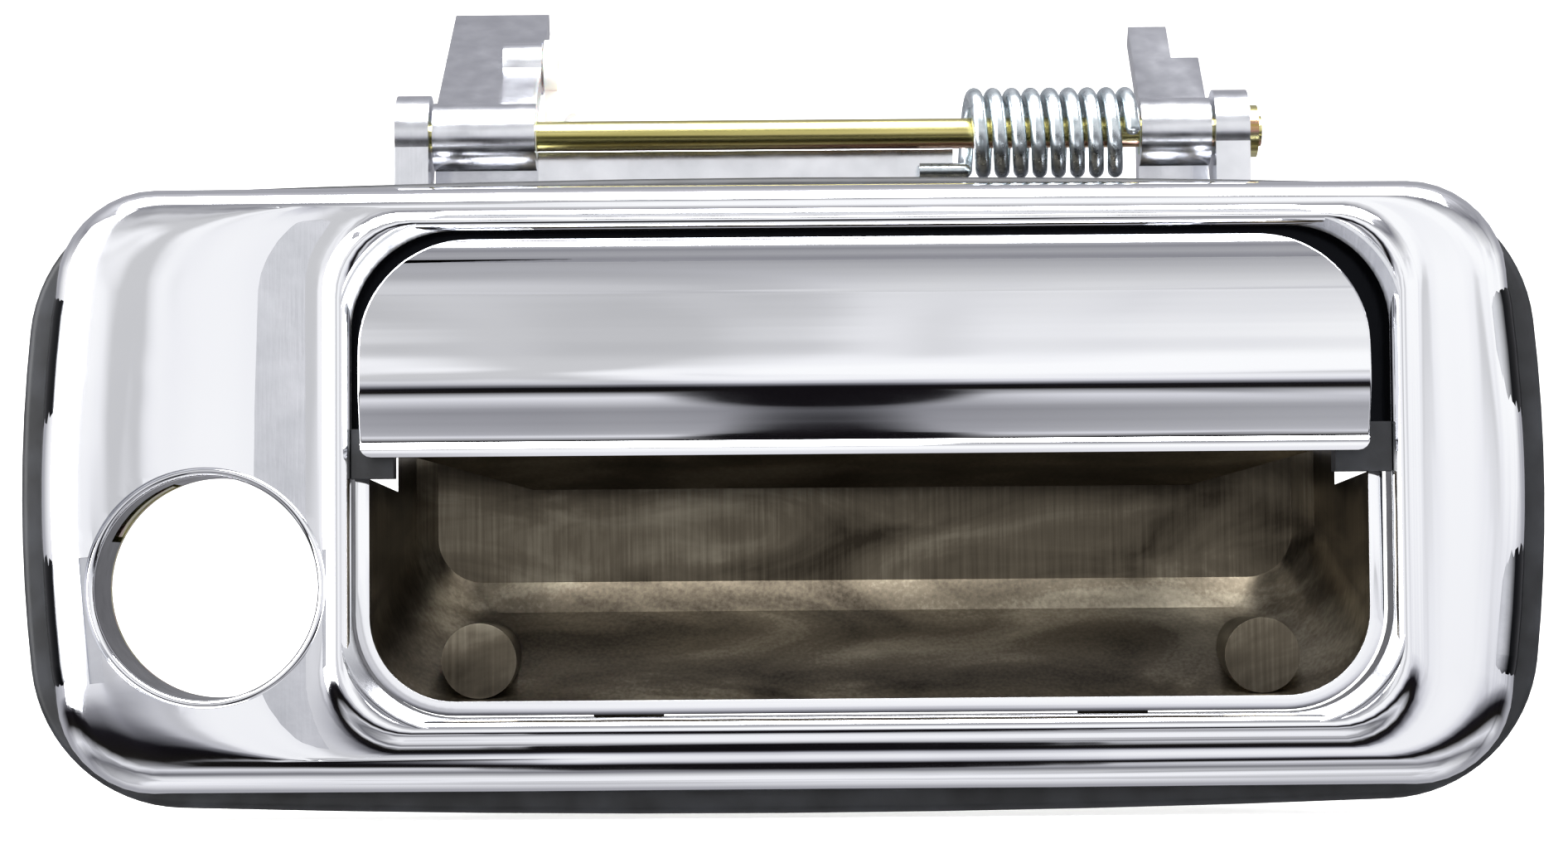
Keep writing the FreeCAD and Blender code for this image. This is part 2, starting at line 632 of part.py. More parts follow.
def flange_outline(drawing):
    """The flange inside the window: a strip behind the paddle's sides and top that stops above the cup."""
    wall = S["bezel_wall"] / 2.0
    left = S["window_left"] - wall
    right = S["window_right"] + wall
    top = S["window_top"] + wall
    low = S["cup_top"] + SEAM
    outer = S["window_corner"] + wall
    inner_left = S["paddle_left"] + S["flange_cover"]
    inner_right = S["paddle_right"] - S["flange_cover"]
    inner_top = S["paddle_top"] - S["flange_top_cover"]
    inner = S["flange_corner"]
    outline(drawing, [
        (left, low), (inner_left, low),
        (inner_left, inner_top - inner, inner), (inner_left + inner, inner_top),
        (inner_right - inner, inner_top, inner), (inner_right, inner_top - inner),
        (inner_right, low), (right, low),
        (right, top - outer, -outer), (right - outer, top),
        (left + outer, top, -outer), (left, top - outer),
    ])


def make_bezel():
    """Chrome frame: a thin casting with a rolled edge, a window, a lock collar and two hinge ears."""
    body = new_body("bezel_body")
    plan = sketch_on(body, "XZ_Plane", S["gasket_thick"])
    bowed_outline(plan, size(0.0), size(0.0))
    pad(body, plan, S["bezel_depth"])
    round_edges(body, S["edge_roll"], on_level(FACE))

    hollow = sketch_on(body, "XZ_Plane", S["gasket_thick"])
    bowed_outline(hollow, S["bezel_wall"], S["bezel_wall"])
    pocket(body, hollow, S["bezel_depth"] - S["bezel_wall"], backwards=True)

    wall = S["bezel_wall"]
    surround = sketch_on(body, "XZ_Plane", S["gasket_thick"])
    rounded_box(surround, S["window_left"] - wall, S["window_right"] + wall, S["window_bottom"] - wall,
                S["window_top"] + wall, S["window_corner"] + wall, S["window_corner"] + wall)
    pad(body, surround, S["bezel_depth"] - S["bezel_wall"] / 2.0)

    lip = sketch_on(body, "XZ_Plane", -FACE - S["bezel_wall"] / 2.0)
    width = S["lip_width"]
    rounded_box(lip, S["window_left"] - width, S["window_right"] + width, S["window_bottom"] - width,
                S["window_top"] + width, S["window_corner"] + width, S["window_corner"] + width)
    pad(body, lip, S["bezel_wall"] / 2.0 + S["lip_rise"])
    round_edges(body, S["lip_roll"], on_level(CREST))

    collar = sketch_on(body, "XZ_Plane", -S["collar_reach"])
    circle(collar, S["lock_across"], S["lock_up"], S["lock_radius"] + S["collar_wall"])
    pad(body, collar, S["collar_reach"] - FACE - S["bezel_wall"] / 2.0)
    for sign in (1.0, -1.0):
        boss = sketch_on(body, "XZ_Plane", -S["collar_reach"])
        circle(boss, S["lock_across"], S["lock_up"] + S["lug_spacing"] * sign, S["boss_radius"])
        pad(body, boss, S["collar_reach"] - FACE - S["bezel_wall"] / 2.0)
    for across in (S["cup_screw_left"], S["cup_screw_right"]):
        boss = sketch_on(body, "XZ_Plane", S["gasket_thick"])
        circle(boss, across, S["cup_screw_up"], S["boss_radius"])
        pad(body, boss, S["bezel_depth"] - S["bezel_wall"] / 2.0)

    for start, width in ((S["ear_left"], S["ear_left_width"]), (S["ear_right"], S["ear_right_width"])):
        ear = sketch_on(body, "YZ_Plane", start)
        ear_outline(ear, S["ear_radius"])
        pad(body, ear, width)

    window = sketch_on(body, "XZ_Plane", -FACE + S["bezel_depth"])
    rounded_box(window, S["window_left"], S["window_right"], S["window_bottom"], S["window_top"],
                S["window_corner"], S["window_corner"])
    pocket(body, window, S["bezel_depth"] * 2.0)
    bevel_edges(body, S["lip_chamfer"], inside(
        S["window_left"], S["window_right"], S["window_bottom"], S["window_top"], on_level(CREST)))

    flange = sketch_on(body, "XZ_Plane", S["gasket_thick"])
    flange_outline(flange)
    pad(body, flange, S["flange_thick"])

    lock = sketch_on(body, "XZ_Plane", -FACE + S["bezel_wall"])
    circle(lock, S["lock_across"], S["lock_up"], S["lock_radius"])
    pocket(body, lock, S["collar_reach"] * 2.0 - FACE)
    round_edges(body, S["lock_roll"], inside(
        S["lock_across"] - S["lock_radius"], S["lock_across"] + S["lock_radius"],
        S["lock_up"] - S["lock_radius"], S["lock_up"] + S["lock_radius"], on_level(FACE)))

    notch = sketch_on(body, "XZ_Plane", -S["collar_reach"])
    ring_sector(notch, S["lock_radius"] - S["collar_wall"], S["lock_radius"] + S["collar_wall"] * 2.0,
                TONGUE_START - TONGUE_PLAY, TONGUE_END + TONGUE_PLAY)
    pocket(body, notch, S["collar_reach"] - GASKET_FRONT, backwards=True)

    for side in (1.0, -1.0):
        hole = sketch_on(body, "XZ_Plane", -S["collar_reach"])
        circle(hole, S["lock_across"], S["lock_up"] + S["lug_spacing"] * side, SCREW_HOLE)
        pocket(body, hole, S["screw_length"], backwards=True)
    for across in (S["cup_screw_left"], S["cup_screw_right"]):
        hole = sketch_on(body, "XZ_Plane", S["gasket_thick"])
        circle(hole, across, S["cup_screw_up"], SCREW_HOLE)
        pocket(body, hole, S["screw_length"] - S["cup_thick"], backwards=True)

    rod_hole = sketch_on(body, "YZ_Plane", S["ear_left"] - CLEAR)
    circle(rod_hole, S["axis_depth"], S["axis_up"], ROD_BORE)
    pocket(body, rod_hole, EAR_END - S["ear_left"] + CLEAR * 2.0, backwards=True)
    finish(body, "bezel")


def ring_sector(drawing, inner, outer, start, end):
    """A piece of ring round the lock hole between two angles in degrees."""
    def at(radius, angle):
        turn = math.radians(angle)
        return (S["lock_across"] + radius * math.cos(turn), S["lock_up"] + radius * math.sin(turn))
    outline(drawing, [
        (*at(outer, start), -outer), at(outer, end),
        (*at(inner, end), inner), at(inner, start),
    ])


def make_lock_plate():
    """Backing plate behind the lock hole: a ring with two screw lugs and a tongue in the collar's notch."""
    body = new_body("lock_plate_body")
    start = -S["collar_reach"]
    disc = sketch_on(body, "XZ_Plane", start)
    circle(disc, S["lock_across"], S["lock_up"], S["lock_radius"] + S["lock_plate_rim"])
    pad(body, disc, S["lock_plate_thick"], backwards=True)
    half = S["lug_width"] / 2.0
    left = S["lock_across"] - half
    right = S["lock_across"] + half
    low = S["lock_up"] - S["lug_spacing"]
    high = S["lock_up"] + S["lug_spacing"]
    bar = sketch_on(body, "XZ_Plane", start)
    outline(bar, [(left, low), (right, low), (right, high), (left, high)])
    pad(body, bar, S["lock_plate_thick"], backwards=True)
    for end in (low, high):
        lug = sketch_on(body, "XZ_Plane", start)
        circle(lug, S["lock_across"], end, half)
        pad(body, lug, S["lock_plate_thick"], backwards=True)
    hole = sketch_on(body, "XZ_Plane", start + S["lock_plate_thick"])
    circle(hole, S["lock_across"], S["lock_up"], S["lock_radius"] + S["fit_gap"])
    pocket(body, hole, S["lock_plate_thick"] * THROUGH)
    tongue = sketch_on(body, "XZ_Plane", start - S["lock_plate_thick"])
    inner = S["lock_radius"] + S["tongue_inset"]
    ring_sector(tongue, inner, inner + S["tongue_thick"], TONGUE_START, TONGUE_END)
    pad(body, tongue, S["lock_plate_thick"] + S["tongue_reach"])
    for side in (1.0, -1.0):
        screw = sketch_on(body, "XZ_Plane", start + S["lock_plate_thick"])
        circle(screw, S["lock_across"], S["lock_up"] + S["lug_spacing"] * side, SCREW_HOLE)
        pocket(body, screw, S["lock_plate_thick"] * THROUGH)
    finish(body, "lock_backing_plate")


def make_gasket():
    """Rubber gasket: a flat ring behind the frame's edge that stands a little past it."""
    body = new_body("gasket_body")
    outer = sketch_on(body, "XZ_Plane")
    bowed_outline(outer, -S["gasket_margin"], -S["gasket_top_margin"])
    pad(body, outer, S["gasket_thick"])
    round_edges(body, S["gasket_roll"], on_level(GASKET_FRONT))
    inner = sketch_on(body, "XZ_Plane", S["gasket_thick"] * 2.0)
    bowed_outline(inner, S["gasket_seat"], S["gasket_top_seat"])
    pocket(body, inner, S["gasket_thick"] * THROUGH)
    finish(body, "gasket")


def screws(label, places, level):
    """Small pan-head screws whose shanks point towards -Y. Their heads rest at the given level."""
    half_slot = S["screw_slot"] / 2.0
    pieces = []
    for number, (across, up) in enumerate(places):
        name = f"{label}_{number}"
        shank = cylinder(name + "_shank", S["screw_radius"], S["screw_length"] - S["screw_tip_play"],
                         across, level - S["screw_length"] + S["screw_tip_play"], up)
        head = cylinder(name + "_head", S["screw_head"], S["screw_head_thick"], across, level, up)
        slot = box(name + "_slot", across - S["screw_head"], across + S["screw_head"],
                   level + S["screw_head_thick"] / 2.0, level + S["screw_head_thick"] * 2.0,
                   up - half_slot, up + half_slot)
        pieces.append(cut(name, fuse(name + "_solid", [shank, head]), slot))
    return finish(compound(label + "_group", pieces), label)


def compound(name, pieces):
    group = doc.addObject("Part::Compound", name)
    group.Links = pieces
    return group


def make_cup():
    """Stamped finger cup: three U-shaped sections lofted into a trough, with a rim and two stud bumps."""
    body = new_body("cup_body")
    thick = S["cup_thick"]
    rim_left = S["window_left"] + S["cup_side_gap"]
    rim_right = S["window_right"] - S["cup_side_gap"] - S["cup_right_play"]
    left = rim_left + S["cup_rim"]
    right = rim_right - S["cup_rim"]
    bottom = S["window_bottom"] + S["cup_side_gap"] + S["cup_rim"]
    outer = S["window_corner"] - S["cup_side_gap"]
    inner = outer - S["cup_rim"]
    front = S["cup_front"] + S["cup_rim_thick"]
    stations = [
        (front, size(0.0), bottom, S["cup_top"], inner),
        (S["cup_bend_depth"], S["cup_bend_side"], S["cup_bend_up"], S["cup_back_top"], inner),
        (S["cup_back_depth"], S["cup_back_side"], S["cup_back_up"], S["cup_back_top"], S["cup_back_corner"]),
    ]

    def trough(kind, grow, top_extra, back_extra):
        sections = []
        for level, lean, low, high, corner in stations:
            is_back = level is stations[-1][0]
            drawing = sketch_on(body, "XZ_Plane", -(level + back_extra) if is_back else -level)
            cup_section(drawing, left + lean - grow, right - lean + grow, low - grow, high + top_extra,
                        corner + grow)
            sections.append(drawing)
        feature = body.newObject(f"PartDesign::{kind}Loft", body.Name + "_loft")
        feature.Profile = sections[0]
        feature.Sections = sections[1:]
        feature.Ruled = True
        doc.recompute()
        return feature

    trough("Additive", thick, size(0.0), thick)
    before = body.Shape.Volume
    trough("Subtractive", size(0.0), S["bezel_depth"], size(0.0))
    if not body.Shape.Volume < before - SMOOTH:
        raise RuntimeError("the cup was not hollowed")

    rim = sketch_on(body, "XZ_Plane", -front - SEAM)
    low = bottom - S["cup_rim"]
    outline(rim, [
        (rim_left + outer, low), (rim_right - outer, low, -outer),
        (rim_right, low + outer), (rim_right, S["cup_top"]),
        (right, S["cup_top"]), (right, bottom + inner, inner),
        (right - inner, bottom), (left + inner, bottom, inner),
        (left, bottom + inner), (left, S["cup_top"]),
        (rim_left, S["cup_top"]), (rim_left, low + outer, -outer),
    ])
    pad(body, rim, S["cup_rim_thick"] + SEAM)

    for across in (S["stud_left"], S["stud_right"]):
        bump = sketch_on(body, "XZ_Plane", -S["bump_front"])
        circle(bump, across, S["stud_up"], S["bump_radius"])
        pad(body, bump, S["bump_depth"], backwards=True)
    for across in (S["stud_left"], S["stud_right"]):
        seat = sketch_on(body, "XZ_Plane", -S["bump_front"] - thick)
        circle(seat, across, S["stud_up"], S["bump_radius"] - thick)
        pocket(body, seat, S["bump_depth"] - thick)

    for across in (S["cup_screw_left"], S["cup_screw_right"]):
        tab = sketch_on(body, "XZ_Plane", S["gasket_thick"])
        half = S["cup_tab_width"] / 2.0
        outline(tab, [
            (across - half, S["cup_screw_up"] - S["boss_radius"]),
            (across + half, S["cup_screw_up"] - S["boss_radius"]),
            (across + half, S["window_bottom"] + S["cup_side_gap"] + S["cup_tab_root"]),
            (across - half, S["window_bottom"] + S["cup_side_gap"] + S["cup_tab_root"]),
        ])
        pad(body, tab, thick, backwards=True)
        hole = sketch_on(body, "XZ_Plane", S["gasket_thick"] + thick)
        circle(hole, across, S["cup_screw_up"], SCREW_HOLE)
        pocket(body, hole, thick * THROUGH)
    finish(body, "recess_cup")


def make_studs():
    """Two M6 shoulder studs whose flanges and plain necks sit inside the cup's bumps."""
    pieces = []
    seat = S["bump_front"] + S["cup_thick"]
    for number, across in enumerate((S["stud_left"], S["stud_right"])):
        flange = cylinder(f"stud_flange_{number}", S["bump_radius"] - S["cup_thick"] - S["fit_gap"],
                          S["stud_flange_thick"], across, seat, S["stud_up"])
        neck = cylinder(f"stud_neck_{number}", S["stud_neck_radius"], S["stud_neck_end"] - seat,
                        across, seat, S["stud_up"])
        thread = cylinder(f"stud_thread_{number}", S["stud_radius"], S["stud_reach"] - S["stud_neck_end"],
                          across, S["stud_neck_end"], S["stud_up"])
        pieces.append(fuse(f"stud_{number}", [flange, neck, thread]))
    finish(compound("stud_group", pieces), "mounting_studs")


def make_stops():
    """Rubber stops on the frame's flange, above the cup's rim and behind the paddle's lower corners."""
    front = S["paddle_back"] + S["stop_front_gap"]
    sides = {
        "bump_stop_left": (S["window_left"] + SEAT, S["paddle_left"] + S["stop_inset"]),
        "bump_stop_right": (S["paddle_right"] - S["stop_inset"], S["window_right"] - SEAT),
    }
    for label, (left, right) in sides.items():
        block = box(label + "_block", left, right, front, FLANGE_FRONT - SEAT,
                    S["cup_top"] + SEAT, S["stop_top"])
        finish(compound(label + "_group", [block]), label)


def make_rod():
    """Hinge rod through both ears, and the ring that keeps it in."""
    start = S["ear_left"]
    end = EAR_END + S["ring_width"] + S["rod_tail"]
    rod = cylinder("rod_solid", S["rod_radius"], end - start, start, S["axis_depth"], S["axis_up"], "X")
    finish(compound("rod_group", [rod]), "hinge_rod")
    ring = cylinder("ring_solid", S["ring_radius"], S["ring_width"],
                    EAR_END + SEAT, S["axis_depth"], S["axis_up"], "X")
    hole = cylinder("ring_hole", ROD_BORE, S["ring_width"] * THROUGH,
                    EAR_END - S["ring_width"], S["axis_depth"], S["axis_up"], "X")
    finish(cut("ring_cut", ring, hole), "rod_retaining_ring")


def make_bushes():
    """Nylon bushes in the two knuckles, turning on the rod."""
    places = {
        "hinge_bush_left": (KNUCKLE_LEFT, S["knuckle_left_width"]),
        "hinge_bush_right": (KNUCKLE_RIGHT, S["knuckle_right_width"]),
    }
    for label, (start, length) in places.items():
        tube = cylinder(label + "_tube", BUSH_RADIUS, length, start, S["axis_depth"], S["axis_up"], "X")
        bore = cylinder(label + "_bore", S["rod_radius"] + S["running_gap"], length * 2.0,
                        start - length / 2.0, S["axis_depth"], S["axis_up"], "X")
        finish(cut(label + "_cut", tube, bore), label)


def make_spring():
    """Torsion spring round the rod. Its left leg lies along the web, and its right leg goes down behind
    the frame's top bar. The coils run downwards on the front side."""
    radius = S["spring_radius"].value
    wire = S["wire_radius"].value
    pitch = S["spring_pitch"].value
    depth = S["axis_depth"].value
    up = S["axis_up"].value
    web_side = (WEB_FRONT - S["wire_radius"] - SEAT - S["axis_depth"]).value
    start_turn = math.pi / 2.0 + math.asin(web_side / radius)
    turns = S["spring_turns"].value - start_turn / (2.0 * math.pi)
    end = SPRING_END.value
    start = end - turns * pitch

    helix = Part.makeHelix(pitch, turns * pitch, radius)
    to_front = FreeCAD.Rotation(Vector(1, 0, 0), math.degrees(start_turn) - 90.0)
    along_rod = FreeCAD.Rotation(Vector(0, 1, 0), 90)
    helix.Placement = FreeCAD.Placement(Vector(start, depth, up), to_front.multiply(along_rod))
    path = Part.Wire(helix.Edges)
    root = path.OrderedVertexes[0].Point
    tip = path.OrderedVertexes[-1].Point
    edge = path.OrderedEdges[0]
    along = edge.tangentAt(edge.FirstParameter)
    section = Part.Wire(Part.makeCircle(wire, root, along))
    coil = path.makePipeShell([section], True, True)

    knee = Vector(tip.x, tip.y, (S["window_top"] + S["bezel_wall"] + SEAM * 2.0).value)
    rest_depth = GASKET_FRONT + S["wire_radius"] + SEAT
    rest = Vector(tip.x, rest_depth.value, (S["window_top"] + S["bezel_wall"] / 2.0).value)
    hook = root - Vector(S["spring_hook"].value, 0, 0)
    legs = [Part.makeSphere(wire, root), Part.makeSphere(wire, tip), Part.makeSphere(wire, knee)]
    for first, last in ((root, hook), (tip, knee), (knee, rest)):
        legs.append(Part.makeCylinder(wire, first.distanceToPoint(last), first, last - first))
    feature = doc.addObject("Part::Feature", "spring_wire")
    feature.Shape = coil.multiFuse(legs)
    finish(feature, "return_spring")


def make_paddle():
    """Chrome paddle: a bowed plate with a rolled belly and a small lip along the bottom."""
    body = new_body("paddle_body")
    side = sketch_on(body, "YZ_Plane", S["paddle_left"])
    back = S["paddle_back"]
    lip_front = back - S["lip_out"]
    outline(side, [
        (back, S["paddle_top"]),
        (back - S["paddle_edge"], S["paddle_top"], -S["face_bow"]),
        (back - S["paddle_belly"], S["crease_up"], -S["roll_bow"]),
        (lip_front + S["lip_slope"], S["paddle_bottom"] + S["lip_height"]),
        (lip_front, S["paddle_bottom"] + S["lip_height"]),
        (lip_front, S["paddle_bottom"]),
        (back - S["lip_back_cut"], S["paddle_bottom"]),
        (back, S["paddle_bottom"] + S["paddle_knee"]),
    ])
    pad(body, side, S["paddle_right"] - S["paddle_left"])
    frame = sketch_on(body, "XZ_Plane", size(0.0))
    border = S["paddle_corner"]
    rounded_box(frame, S["paddle_left"], S["paddle_right"], S["paddle_bottom"], S["paddle_top"],
                S["paddle_foot_corner"], S["paddle_corner"])
    outline(frame, [
        (S["paddle_left"] - border, S["paddle_bottom"] - border),
        (S["paddle_right"] + border, S["paddle_bottom"] - border),
        (S["paddle_right"] + border, S["paddle_top"] + border),
        (S["paddle_left"] - border, S["paddle_top"] + border),
    ])
    pocket(body, frame, -(S["paddle_back"] - S["paddle_belly"] * 2.0), backwards=True)
    holes = sketch_on(body, "XZ_Plane", -back)
    for across, up in rivet_spots():
        circle(holes, across, up, RIVET_HOLE)
    pocket(body, holes, S["rivet_bite"] + S["fit_gap"], backwards=True)
    finish(body, "pull_paddle")


def foot_middles():
    """The middles of the bracket's two feet, along X."""
    return ((KNUCKLE_LEFT + KNUCKLE_LEFT_END) / 2.0, (KNUCKLE_RIGHT + KNUCKLE_RIGHT_END) / 2.0)


def rivet_spots():
    """Two rivets side by side in each foot."""
    up = S["foot_bottom"] + S["rivet_inset"]
    return [(middle + S["rivet_spacing"] * side, up) for middle in foot_middles() for side in (-0.5, 0.5)]


def make_inner_plate():
    """Stamped plate inside the paddle: a flange under the bracket's feet, a sloping ledge, a back flange."""
    body = new_body("inner_plate_body")
    thick = S["plate_thick"]
    front = S["paddle_back"] + SEAT
    start = S["paddle_left"] + S["ledge_side_gap"]
    end = S["paddle_right"] - S["ledge_side_gap"]
    side = sketch_on(body, "YZ_Plane", start)
    knee = S["paddle_bottom"] + S["paddle_knee"]
    lip_top = S["paddle_bottom"] + S["lip_height"]
    lip_lean = S["lip_back_cut"] * (size(1.0) - S["lip_height"] / S["paddle_knee"])
    fall = (lip_top - S["ledge_drop"]) / (S["ledge_depth"] - front)
    outline(side, [
        (front, S["foot_top"]),
        (front, knee),
        (front - lip_lean + SEAT, lip_top),
        (S["ledge_depth"], S["ledge_drop"]),
        (S["ledge_depth"], S["ledge_rise"]),
        (S["ledge_depth"] - thick, S["ledge_rise"]),
        (S["ledge_depth"] - thick, S["ledge_drop"] + thick * (fall + 1.0)),
        (front + thick, lip_top + thick * (size(1.0) - fall)),
        (front + thick, S["foot_top"]),
    ])
    pad(body, side, end - start)
    corners = sketch_on(body, "XY_Plane", S["ledge_drop"] - thick)
    for edge, sign in ((start, 1.0), (end, -1.0)):
        outline(corners, [
            (edge, front + thick * 2.0),
            (edge + S["ledge_bevel"] * sign, S["ledge_depth"] + thick),
            (edge - thick * sign, S["ledge_depth"] + thick),
            (edge - thick * sign, front + thick * 2.0),
        ])
    pocket(body, corners, S["paddle_top"], backwards=True)
    shoulders = sketch_on(body, "XZ_Plane", -front + thick)
    foot_half = S["knuckle_left_width"] / 2.0
    left_place, right_place = foot_middles()
    low = knee + thick * 2.0
    high = S["foot_top"] + thick
    for left, right in (
        (start - thick, left_place - foot_half),
        (left_place + foot_half, right_place - foot_half),
        (right_place + foot_half, end + thick),
    ):
        outline(shoulders, [(left, low), (right, low), (right, high), (left, high)])
    pocket(body, shoulders, thick * THROUGH)
    holes = sketch_on(body, "XZ_Plane", -front + thick)
    for across, up in rivet_spots():
        circle(holes, across, up, RIVET_HOLE)
    pocket(body, holes, thick * THROUGH)
    finish(body, "paddle_inner_plate")


def lever_outline(drawing, depth, up, thick):
    """A lever's side view: a straight bar from the knuckle to its tip."""
    start = LEVER_ROOT
    run = depth - start[0]
    rise = up - start[1]
    length = (run * run + rise * rise).root()
    across = (-(rise / length) * (thick / 2.0), (run / length) * (thick / 2.0))
    outline(drawing, [
        (start[0] - across[0], start[1] - across[1]),
        (depth - across[0], up - across[1]),
        (depth + across[0], up + across[1]),
        (start[0] + across[0], start[1] + across[1]),
    ])


def clip_place():
    """Where the nylon clip sits on the latch lever: part of the way to its tip."""
    share = S["clip_share"]
    return (
        LEVER_ROOT[0] + (S["latch_lever_depth"] - LEVER_ROOT[0]) * share,
        LEVER_ROOT[1] + (S["latch_lever_up"] - LEVER_ROOT[1]) * share,
    )


def foot_front_level():
    """The front of the bracket's feet, which clamp the inner plate on the paddle's back."""
    return S["paddle_back"] + SEAT * 2.0 + S["plate_thick"]


def make_carrier():
    """Chrome bracket: two knuckles on the rod, arms down to the paddle, a web between, and two levers."""
    body = new_body("carrier_body")
    arm_front = ARM_BACK - S["arm_thick"]
    foot_front = foot_front_level()
    leg_top = S["foot_top"]

    def arm_side(drawing, front, top, bottom):
        outline(drawing, [
            (ARM_BACK, top),
            (front, top),
            (front, leg_top),
            (foot_front, leg_top),
            (foot_front, bottom),
            (foot_front + S["foot_thick"], bottom),
            (foot_front + S["foot_thick"], leg_top - (ARM_BACK - front)),
            (ARM_BACK, leg_top - (ARM_BACK - front)),
        ])

    web = sketch_on(body, "YZ_Plane", KNUCKLE_LEFT)
    arm_side(web, WEB_FRONT, S["axis_up"] - S["web_drop"], leg_top - S["web_thick"] * 2.0)
    pad(body, web, KNUCKLE_RIGHT_END - KNUCKLE_LEFT)
    for start, width in ((KNUCKLE_LEFT, S["knuckle_left_width"]), (KNUCKLE_RIGHT, S["knuckle_right_width"])):
        arm = sketch_on(body, "YZ_Plane", start)
        arm_side(arm, arm_front, S["axis_up"], S["foot_bottom"])
        pad(body, arm, width)
        knuckle = sketch_on(body, "YZ_Plane", start)
        circle(knuckle, S["axis_depth"], S["axis_up"], S["knuckle_radius"])
        pad(body, knuckle, width)

    spring_start = SPRING_END - S["spring_pitch"] * (S["spring_turns"] - 0.5) - S["wire_radius"] * 2.0
    upper = sketch_on(body, "YZ_Plane", KNUCKLE_LEFT)
    outline(upper, [
        (WEB_FRONT, leg_top), (ARM_BACK, leg_top),
        (ARM_BACK, S["axis_up"] - S["web_top_gap"]), (WEB_FRONT, S["axis_up"] - S["web_top_gap"]),
    ])
    pad(body, upper, spring_start - KNUCKLE_LEFT)

    latch = sketch_on(body, "YZ_Plane", KNUCKLE_LEFT)
    lever_outline(latch, S["latch_lever_depth"], S["latch_lever_up"], S["lever_thick"])
    pad(body, latch, LATCH_SIDE - KNUCKLE_LEFT)
    boss = sketch_on(body, "YZ_Plane", LATCH_SIDE - S["clip_sleeve"] - S["lever_inset"])
    circle(boss, *clip_place(), S["clip_boss_radius"])
    pad(body, boss, S["clip_sleeve"] + S["lever_inset"])
    stop_start = KNUCKLE_RIGHT + S["lever_inset"]
    stop = sketch_on(body, "YZ_Plane", stop_start)
    lever_outline(stop, S["stop_lever_depth"], S["stop_lever_up"], S["lever_thick"])
    pad(body, stop, S["stop_lever_width"])
    shoulder = sketch_on(body, "YZ_Plane", stop_start)
    share = S["shoulder_share"]
    lever_outline(shoulder, LEVER_ROOT[0] + (S["stop_lever_depth"] - LEVER_ROOT[0]) * share,
                  LEVER_ROOT[1] + (S["stop_lever_up"] - LEVER_ROOT[1]) * share, S["lever_thick"])
    pad(body, shoulder, S["knuckle_right_width"] - S["lever_inset"])

    window = sketch_on(body, "XZ_Plane", -foot_front + CLEAR)
    outline(window, [
        (KNUCKLE_LEFT_END, size(0.0)), (KNUCKLE_RIGHT, size(0.0)),
        (KNUCKLE_RIGHT, leg_top + CLEAR), (KNUCKLE_LEFT_END, leg_top + CLEAR),
    ])
    pocket(body, window, WEB_FRONT - foot_front + CLEAR)

    bores = sketch_on(body, "YZ_Plane", KNUCKLE_LEFT - CLEAR)
    circle(bores, S["axis_depth"], S["axis_up"], BUSH_RADIUS + S["fit_gap"])
    pocket(body, bores, KNUCKLE_RIGHT_END - KNUCKLE_LEFT + CLEAR * 2.0, backwards=True)
    holes = sketch_on(body, "XZ_Plane", -foot_front + CLEAR)
    for across, up in rivet_spots():
        circle(holes, across, up, RIVET_HOLE)
    pocket(body, holes, S["foot_thick"] * THROUGH)
    pin = sketch_on(body, "YZ_Plane", LATCH_SIDE - S["clip_sleeve"] - S["running_gap"])
    circle(pin, *clip_place(), S["clip_sleeve_radius"] + S["running_gap"])
    pocket(body, pin, S["clip_sleeve"] * 2.0, backwards=True)
    finish(body, "hinge_carrier")


def make_rivets():
    """Rivets through the bracket's feet and the inner plate into the paddle."""
    start = S["paddle_back"] - S["rivet_bite"]
    foot_back = foot_front_level() + S["foot_thick"]
    pieces = []
    for number, (across, up) in enumerate(rivet_spots()):
        shank = cylinder(f"rivet_shank_{number}", S["rivet_radius"], foot_back - start + SEAT,
                         across, start, up)
        head = cylinder(f"rivet_head_{number}", S["rivet_head"], S["rivet_head_thick"],
                        across, foot_back + SEAT, up)
        pieces.append(fuse(f"rivet_{number}", [shank, head]))
    finish(compound("rivet_group", pieces), "carrier_rivets")


def make_clip():
    """Nylon clip for the latch rod: a flange, a sleeve in the lever's boss, and an arm with a jaw."""
    depth, up = clip_place()
    start = LATCH_SIDE + S["clip_play"]
    flange = cylinder("clip_flange", S["clip_radius"], S["clip_thick"], start, depth, up, "X")
    sleeve = cylinder("clip_sleeve_tube", S["clip_sleeve_radius"], S["clip_sleeve"],
                      start + S["clip_thick"] / 2.0 - S["clip_sleeve"], depth, up, "X")
    half = S["clip_arm_width"] / 2.0
    jaw_up = up - S["clip_arm"]
    jaw_end = start + S["clip_thick"] + S["clip_jaw"]
    arm = box("clip_arm_bar", start, start + S["clip_thick"], depth - half, depth + half,
              jaw_up - S["clip_jaw"], up)
    jaw = box("clip_jaw_block", start + S["clip_thick"] / 2.0, jaw_end, depth - half, depth + half,
              jaw_up - S["clip_jaw"], jaw_up + S["clip_jaw"])
    solid = fuse("clip_solid", [flange, sleeve, arm, jaw])
    eye = cylinder("clip_eye", S["clip_eye_radius"], S["clip_sleeve"] * 3.0, start - S["clip_sleeve"] * 1.5,
                   depth, up, "X")
    groove = cylinder("clip_groove", S["clip_eye_radius"], S["clip_arm_width"] * 2.0,
                      jaw_end, depth - S["clip_arm_width"], jaw_up)
    finish(cut("clip_cut", solid, fuse("clip_holes", [eye, groove])), "rod_clip")


